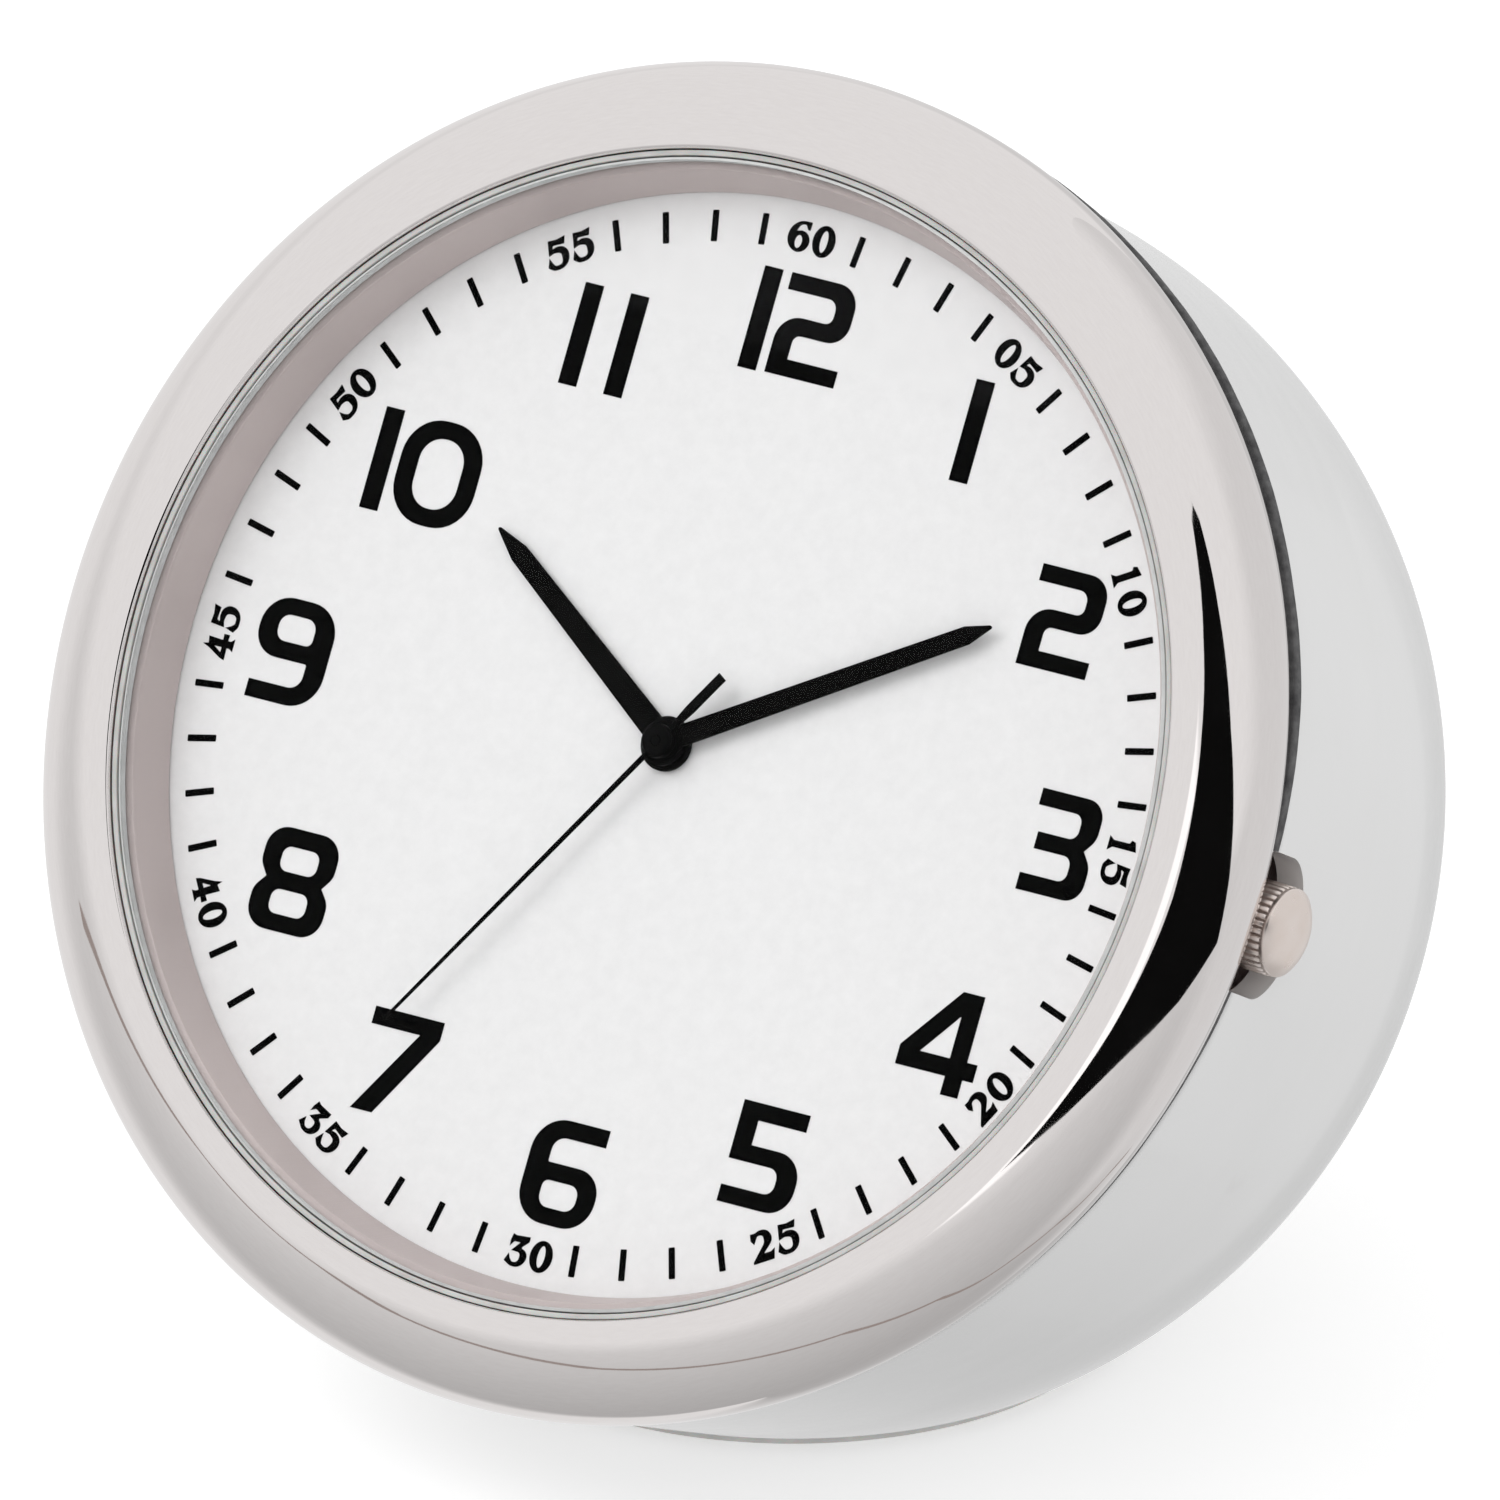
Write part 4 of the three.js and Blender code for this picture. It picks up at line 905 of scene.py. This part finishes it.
MINUTE_SHAPES = {
    "0": (1.08, []),
    "1": (0.62, [
        [(0.46, 0), (0.45, 1.15, 0.1), (0.62, 1.375), (0, 1.375), (0.15, 1.15, 0.1), (0.15, 0.38, 0.03),
         (0, 0.3), (0.05, 0.12, 0.03)]]),
    "2": (1.08, [
        [(0.08, 0.06), (0.3, 0.07, 0.1), (0.5, 0, 0.3), (1.04, 0, 0.42), (1.04, 0.58, 0.4), (0.55, 1.02),
         (0.88, 1.03, 0.1), (1.08, 0.92), (0.98, 1.375), (0, 1.375), (0, 1.28), (0.66, 0.58, 0.3),
         (0.66, 0.22, 0.15), (0.38, 0.22, 0.12), (0.18, 0.54), (0.05, 0.35)]]),
    "3": (1.02, [
        [(0.14, 0), (0.3, 0.05), (0.97, 0), (0.97, 0.22), (0.62, 0.56, 0.05), (1.02, 0.58, 0.35),
         (1.02, 1.37, 0.5), (0.35, 1.375, 0.3), (0, 1.2), (0.15, 0.85), (0.24, 1.05, 0.08),
         (0.38, 1.18, 0.1), (0.68, 1.18, 0.2), (0.68, 0.74, 0.15), (0.22, 0.72), (0.56, 0.32),
         (0.26, 0.32, 0.05), (0.1, 0.54), (0.08, 0.3)]]),
    "4": (1.1, [
        [(0.52, -0.06), (0.58, 0.2), (0.88, 0.14), (0.84, 0.84), (1.1, 0.82), (1.1, 1.1), (0.84, 1.08),
         (0.84, 1.24, 0.05), (0.97, 1.4), (0.42, 1.4), (0.52, 1.24, 0.05), (0.52, 1.1), (0, 1.12),
         (0.06, 0.9), (0.38, 0.3)],
        [(0.52, 0.5), (0.52, 0.86), (0.3, 0.86)]]),
    "5": (1.07, [
        [(0.2, 0.03), (0.6, 0.07), (1.02, 0), (0.93, 0.33), (0.4, 0.29), (0.34, 0.44),
         (0.55, 0.38, 0.15), (1.07, 0.42, 0.42), (1.07, 1.375, 0.55), (0.25, 1.375, 0.3), (0, 1.18),
         (0.13, 0.78), (0.24, 1.02, 0.1), (0.36, 1.18, 0.1), (0.73, 1.18, 0.2), (0.73, 0.68, 0.18),
         (0.4, 0.62, 0.15), (0.13, 0.7)]]),
    "6": (1.08, [
        [(0, 0, 0.72), (1, 0.02), (0.98, 0.38), (0.86, 0.36, 0.05), (0.76, 0.17, 0.15),
         (0.5, 0.17, 0.25), (0.36, 0.5), (0.6, 0.44, 0.2), (1.08, 0.46, 0.46), (1.08, 1.375, 0.5),
         (0, 1.375, 0.62)]]),
}
OVALS = {
    "0": [((0.54, 0.69), 0.54, 0.69), ((0.54, 0.69), 0.18, 0.47)],
    "6": [((0.56, 0.93), 0.17, 0.28)],
}
MINUTE_HEIGHT = 1.375
MINUTE_DROP = -0.04
MINUTE_GAP = 0.13
GAP_AFTER_ONE = 0.35
TRACK_RADIUS = 22.2
TICK = (0.29, 1.35)
TICK_EDGE = 0.04
# How far each minute numeral is printed to the right of its place.
MINUTE_NUDGES = {
    60: 0.02, 5: 0, 10: 0.1, 15: 0.1, 20: 0.16, 25: 0.23, 30: 0.18, 35: 0.13, 40: 0.1, 45: -0.06,
    50: 0.03, 55: 0.07
}
INK = (-0.01, 0.022)  # from just inside the dial's surface to the top of the ink


def drawn(figure, shapes):
    """A figure's width and outlines, with x to the right and y down."""
    width, corners = shapes[figure]
    outlines = [rounded(outline, 8) for outline in corners]
    if shapes is MINUTE_SHAPES:
        outlines += [ellipse(*oval) for oval in OVALS.get(figure, [])]
    return width, outlines


def number(text, shapes, height, gap):
    """The outlines of a number, figure by figure, centred on the origin with y up."""
    figures = [drawn(figure, shapes) for figure in text]
    total = sum(width for width, _ in figures) + gap * (len(figures) - 1)
    left = -total / 2
    outlines = []
    for width, figure in figures:
        outlines.append([[Vector((left + p.x, height / 2 - p.y)) for p in outline] for outline in figure])
        left += width + gap
    return outlines


def turned_figure(outlines, centre, angle):
    """A figure's outlines turned by angle and moved to centre."""
    turn = Matrix.Rotation(angle, 2)
    return [[turn @ point + centre for point in outline] for outline in outlines]


def on_circle(radius, minutes):
    """The place on a circle round the dial's centre that a minute points to."""
    angle = math.radians(6 * minutes)
    return Vector((radius * math.sin(angle), radius * math.cos(angle)))


def hour_numerals():
    """Upright numerals 1 to 12."""
    for hour, nudge in HOUR_NUDGES.items():
        text = str(hour)
        centre = on_circle(HOUR_RADIUS, 5 * hour) + Vector(nudge)
        turn = math.pi if hour == 9 else 0
        for figure in number(text, HOUR_SHAPES, HOUR_HEIGHT, HOUR_GAPS.get(text, 0)):
            yield turned_figure(figure, centre, turn)


def minute_numerals():
    """Numbers 05 to 60, each turned to face the centre or, in the lower half, away from it."""
    for minute, nudge in MINUTE_NUDGES.items():
        text = f"{minute:02d}"
        gap = GAP_AFTER_ONE if text[0] == "1" else MINUTE_GAP
        angle = math.radians(-6 * minute)
        if 15 < minute < 45:
            angle += math.pi
        centre = on_circle(TRACK_RADIUS, minute) + Matrix.Rotation(angle, 2) @ Vector((nudge, MINUTE_DROP))
        for figure in number(text, MINUTE_SHAPES, MINUTE_HEIGHT, gap):
            yield turned_figure(figure, centre, angle)


def minute_ticks():
    """A short stroke at every minute that has no number."""
    x, y = TICK[0] / 2, TICK[1] / 2
    stroke = rounded([(-x, -y, TICK_EDGE), (x, -y, TICK_EDGE), (x, y, TICK_EDGE), (-x, y, TICK_EDGE)], 3)
    for minute in range(60):
        if minute % 5:
            yield turned_figure([stroke], on_circle(TRACK_RADIUS, minute), math.radians(-6 * minute))


def dial_print():
    """All the black ink on the dial as one piece."""
    figures = [*hour_numerals(), *minute_numerals(), *minute_ticks()]
    ink = solid("dial_print", joined(*[slab(figure, *INK) for figure in figures]))
    ink.data.materials.append(black_ink())
    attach(ink, BODY_OF["dial"])


# ---- the clock
for cad_node, cad_piece in frame["nodes"].items():
    cad_piece.data.materials.clear()
    cad_piece.data.materials.append(LOOKS[SLOTS[cad_node]])

body_shell()
foot_pad()
rim_gasket()
bezel()
crystal()
square_ring("glass_seal", "crystal_gasket", 0.04)
rehaut_ring()
dial()
dial_print()
case_can()
case_back()
square_ring("back_seal", "back_gasket", 0.12)
hands()
crown()


# ---- camera
def towards(azimuth, elevation):
    """The direction that a place at this azimuth from the front, and elevation, lies in."""
    turn, rise = math.radians(azimuth), math.radians(elevation)
    return Vector((math.sin(turn) * math.cos(rise), -math.cos(turn) * math.cos(rise), math.sin(rise)))


VIEW = (31.6, 24.55)
VIEW_WIDTH = 63.15  # millimetres across the picture at the dial
AIM = (3.387, -0.21)  # the picture's centre, right of and above the dial's
GLASS_LIFT = 0.25  # how far the glass seems to raise the dial
LENS = 1500
SENSOR = 36


def facing(away):
    """The directions to the right and up for someone who looks at the clock from away."""
    across = Vector((0, 0, 1)).cross(away).normalized()
    return across, away.cross(across)


def aimed(name, data, away, location):
    """A camera or lamp at a place, looking back along away."""
    made = bpy.data.objects.new(name, data)
    made.location = location
    made.rotation_euler = away.to_track_quat("Z", "Y").to_euler()
    bpy.context.scene.collection.objects.link(made)
    return made


def camera():
    """A very long lens, so that the picture has almost no perspective."""
    away = towards(*VIEW)
    across, upward = facing(away)
    target = IN_HEAD @ Vector((0, 0, GLASS_LIFT)) + (across * AIM[0] + upward * AIM[1]) * MM
    data = bpy.data.cameras.new("camera")
    data.lens = LENS
    data.sensor_width = SENSOR
    data.clip_end = 100
    location = target + away * VIEW_WIDTH * MM * LENS / SENSOR
    bpy.context.scene.camera = aimed("camera", data, away, location)


# ---- floor and light
def floor():
    """A wide pale floor. Mirrors and diffuse light see the studio's light in its place."""
    half, cells = 4000, 8
    below = -0.02
    row = cells + 1
    points = [(half * (2 * i / cells - 1), half * (2 * j / cells - 1), below)
              for j in range(row) for i in range(row)]
    faces = [[j * row + i, j * row + i + 1, (j + 1) * row + i + 1, (j + 1) * row + i]
             for j in range(cells) for i in range(cells)]
    made = solid("floor", (points, faces), IN_CLOCK)
    look = Finish("floor", Roughness=0.7, Specular_IOR_Level=0.2,
                  Emission_Color=(1, 1, 1, 1), Emission_Strength=0.3)
    look.colours(look.noise(120), (0.92, 0.92, 0.92), (0.94, 0.94, 0.94))
    look.bump(look.noise(0.8), 0.02, 0.3)
    made.data.materials.append(look.material)
    made.visible_glossy = False
    made.visible_diffuse = False


# Corners of the dark card that the bezel mirrors, as azimuth and elevation seen from the clock.
CARD = [
    (-6, 48.7), (0, 52.5), (5, 53.4), (15, 49.9), (25, 46.6), (35, 41.9), (43, 38.1), (57, 28.5),
    (70, 15.5), (81, 0), (54, 7), (37, 12.5), (20, 17.4), (8, 19.9), (-1, 21.5), (-15, 24), (-12, 26.4),
    (-9, 27.8), (-5, 31), (-4, 32.5), (-7, 35.3), (-10, 37.7), (-10.5, 41), (-9, 43.5)
]
CARD_MIDDLE = (35, 30)
# The course of the dark edge of the table that the bezel mirrors, seen from the clock in the same way.
TABLE_EDGE = [
    (-56, 9), (-48, 14), (-44, 16), (-38, 19), (-34, 17), (-32, 13), (-28, 9), (-21, 1), (-10, -7),
    (8, -18), (36, -38), (63, -52), (88, -55), (112, -55), (157, -46)
]
EDGE_WIDTH = 1.1  # degrees
STAGE_DISTANCE = 3000
MIRROR_CENTRE = Matrix.Translation(DIAL_CENTRE + OUT * 2 * MM)


def only_in_mirrors(made, colour):
    """Makes a stage piece of an even tone that nothing but polished metal shows."""
    look = Finish(made.name, Base_Color=(0, 0, 0, 1), Roughness=1.0, Specular_IOR_Level=0.0,
                  Emission_Color=(*colour, 1), Emission_Strength=1.0)
    made.data.materials.append(look.material)
    for ray in ("camera", "diffuse", "transmission", "volume_scatter", "shadow"):
        setattr(made, f"visible_{ray}", False)


def card():
    """A flat dark card beyond the camera's view."""
    middle = towards(*CARD_MIDDLE)
    across, upward = facing(middle)
    outline = []
    for corner in CARD:
        direction = towards(*corner)
        scale = STAGE_DISTANCE / direction.dot(middle)
        outline.append((direction.dot(across) * scale, direction.dot(upward) * scale))
    place = MIRROR_CENTRE @ Matrix((across, upward, middle)).transposed().to_4x4() @ IN_CLOCK
    thickness = 5
    made = solid("dark_card", slab([outline], STAGE_DISTANCE, STAGE_DISTANCE + thickness), place)
    only_in_mirrors(made, (0.004, 0.004, 0.004))


def table_edge():
    """The dark edge of the table beyond the pale cloth, as a thin band all round."""
    course = [towards(*corner) for corner in TABLE_EDGE]
    half = math.radians(EDGE_WIDTH / 2)
    points = []
    for index, direction in enumerate(course):
        along = course[min(index + 1, len(course) - 1)] - course[max(index - 1, 0)]
        side = direction.cross(along).normalized() * half
        points += [(direction + side) * STAGE_DISTANCE, (direction - side) * STAGE_DISTANCE]
    faces = [[2 * i, 2 * i + 1, 2 * i + 3, 2 * i + 2] for i in range(len(course) - 1)]
    made = solid("table_edge", (points, faces), MIRROR_CENTRE @ IN_CLOCK)
    only_in_mirrors(made, (0.36, 0.31, 0.29))


# How bright the studio is at each elevation: pale walls and ceiling above a dimmer table.
STUDIO_TONES = [(-90, 0.49), (-55, 0.53), (-25, 0.59), (0, 0.665), (15, 0.73), (24, 0.905), (90, 0.905)]


def by_elevation(tree, elevation):
    """The studio's tone at an elevation in degrees."""
    share = between(tree, elevation, 0, 1, -90, 90)
    node = add(tree, "ShaderNodeValToRGB", {0: share})
    stops = node.color_ramp.elements
    while len(stops) < len(STUDIO_TONES):
        stops.new(0.5)
    for stop, (height, tone) in zip(stops, STUDIO_TONES):
        stop.position = (height + 90) / 180
        stop.color = (tone, tone, tone, 1)
    return node.outputs[0]


def studio():
    """Even light above, a dimmer table below that is paler at the sides, and a narrow bright strip."""
    world = bpy.data.worlds.new("studio")
    bpy.context.scene.world = world
    world.use_nodes = True
    tree = world.node_tree
    place = add(tree, "ShaderNodeTexCoord").outputs["Generated"]
    parts = add(tree, "ShaderNodeSeparateXYZ", {0: place}).outputs
    degrees = 180 / math.pi
    front = product(tree, parts[1], -1)
    azimuth = product(tree, maths(tree, "ARCTAN2", parts[0], front), degrees)
    elevation = product(tree, maths(tree, "ARCSINE", parts[2]), degrees)

    def step(value, start, end):
        """From nothing at start to all of it at end, in degrees."""
        return between(tree, value, 0, 1, start, end, smooth=True)

    left = product(tree, step(elevation, 24, 12), step(azimuth, -55, -88), step(azimuth, -170, -140))
    right = product(tree, step(elevation, 85, 45), step(elevation, -62, -42), step(azimuth, 55, 100))
    strip = product(tree, step(elevation, 21.5, 23), step(elevation, 37, 35.5),
                    step(azimuth, -18, -16.5), step(azimuth, -8, -9.5))
    colour = by_elevation(tree, elevation)
    for share, tone in ((left, 0.88), (right, 0.77), (strip, 1.3)):
        colour = blend(tree, share, colour, (tone, tone, tone))
    tree.links.new(colour, tree.nodes["Background"].inputs["Color"])
    tree.nodes["Background"].inputs["Strength"].default_value = 1.0


def lamp(name, azimuth, elevation, distance, size, power):
    """A large soft lamp aimed at the clock, which mirrors don't show."""
    data = bpy.data.lights.new(name, "AREA")
    data.shape = "DISK"
    data.size = size
    data.energy = power
    away = towards(azimuth, elevation)
    made = aimed(name, data, away, DIAL_CENTRE + away * distance)
    made.visible_glossy = False


camera()
floor()
card()
table_edge()
studio()
lamp("key", -40, 46, 1.2, 0.7, 3.0)
lamp("fill", 80, 12, 1.5, 0.9, 1.7)
bpy.context.scene.view_settings.view_transform = "Standard"
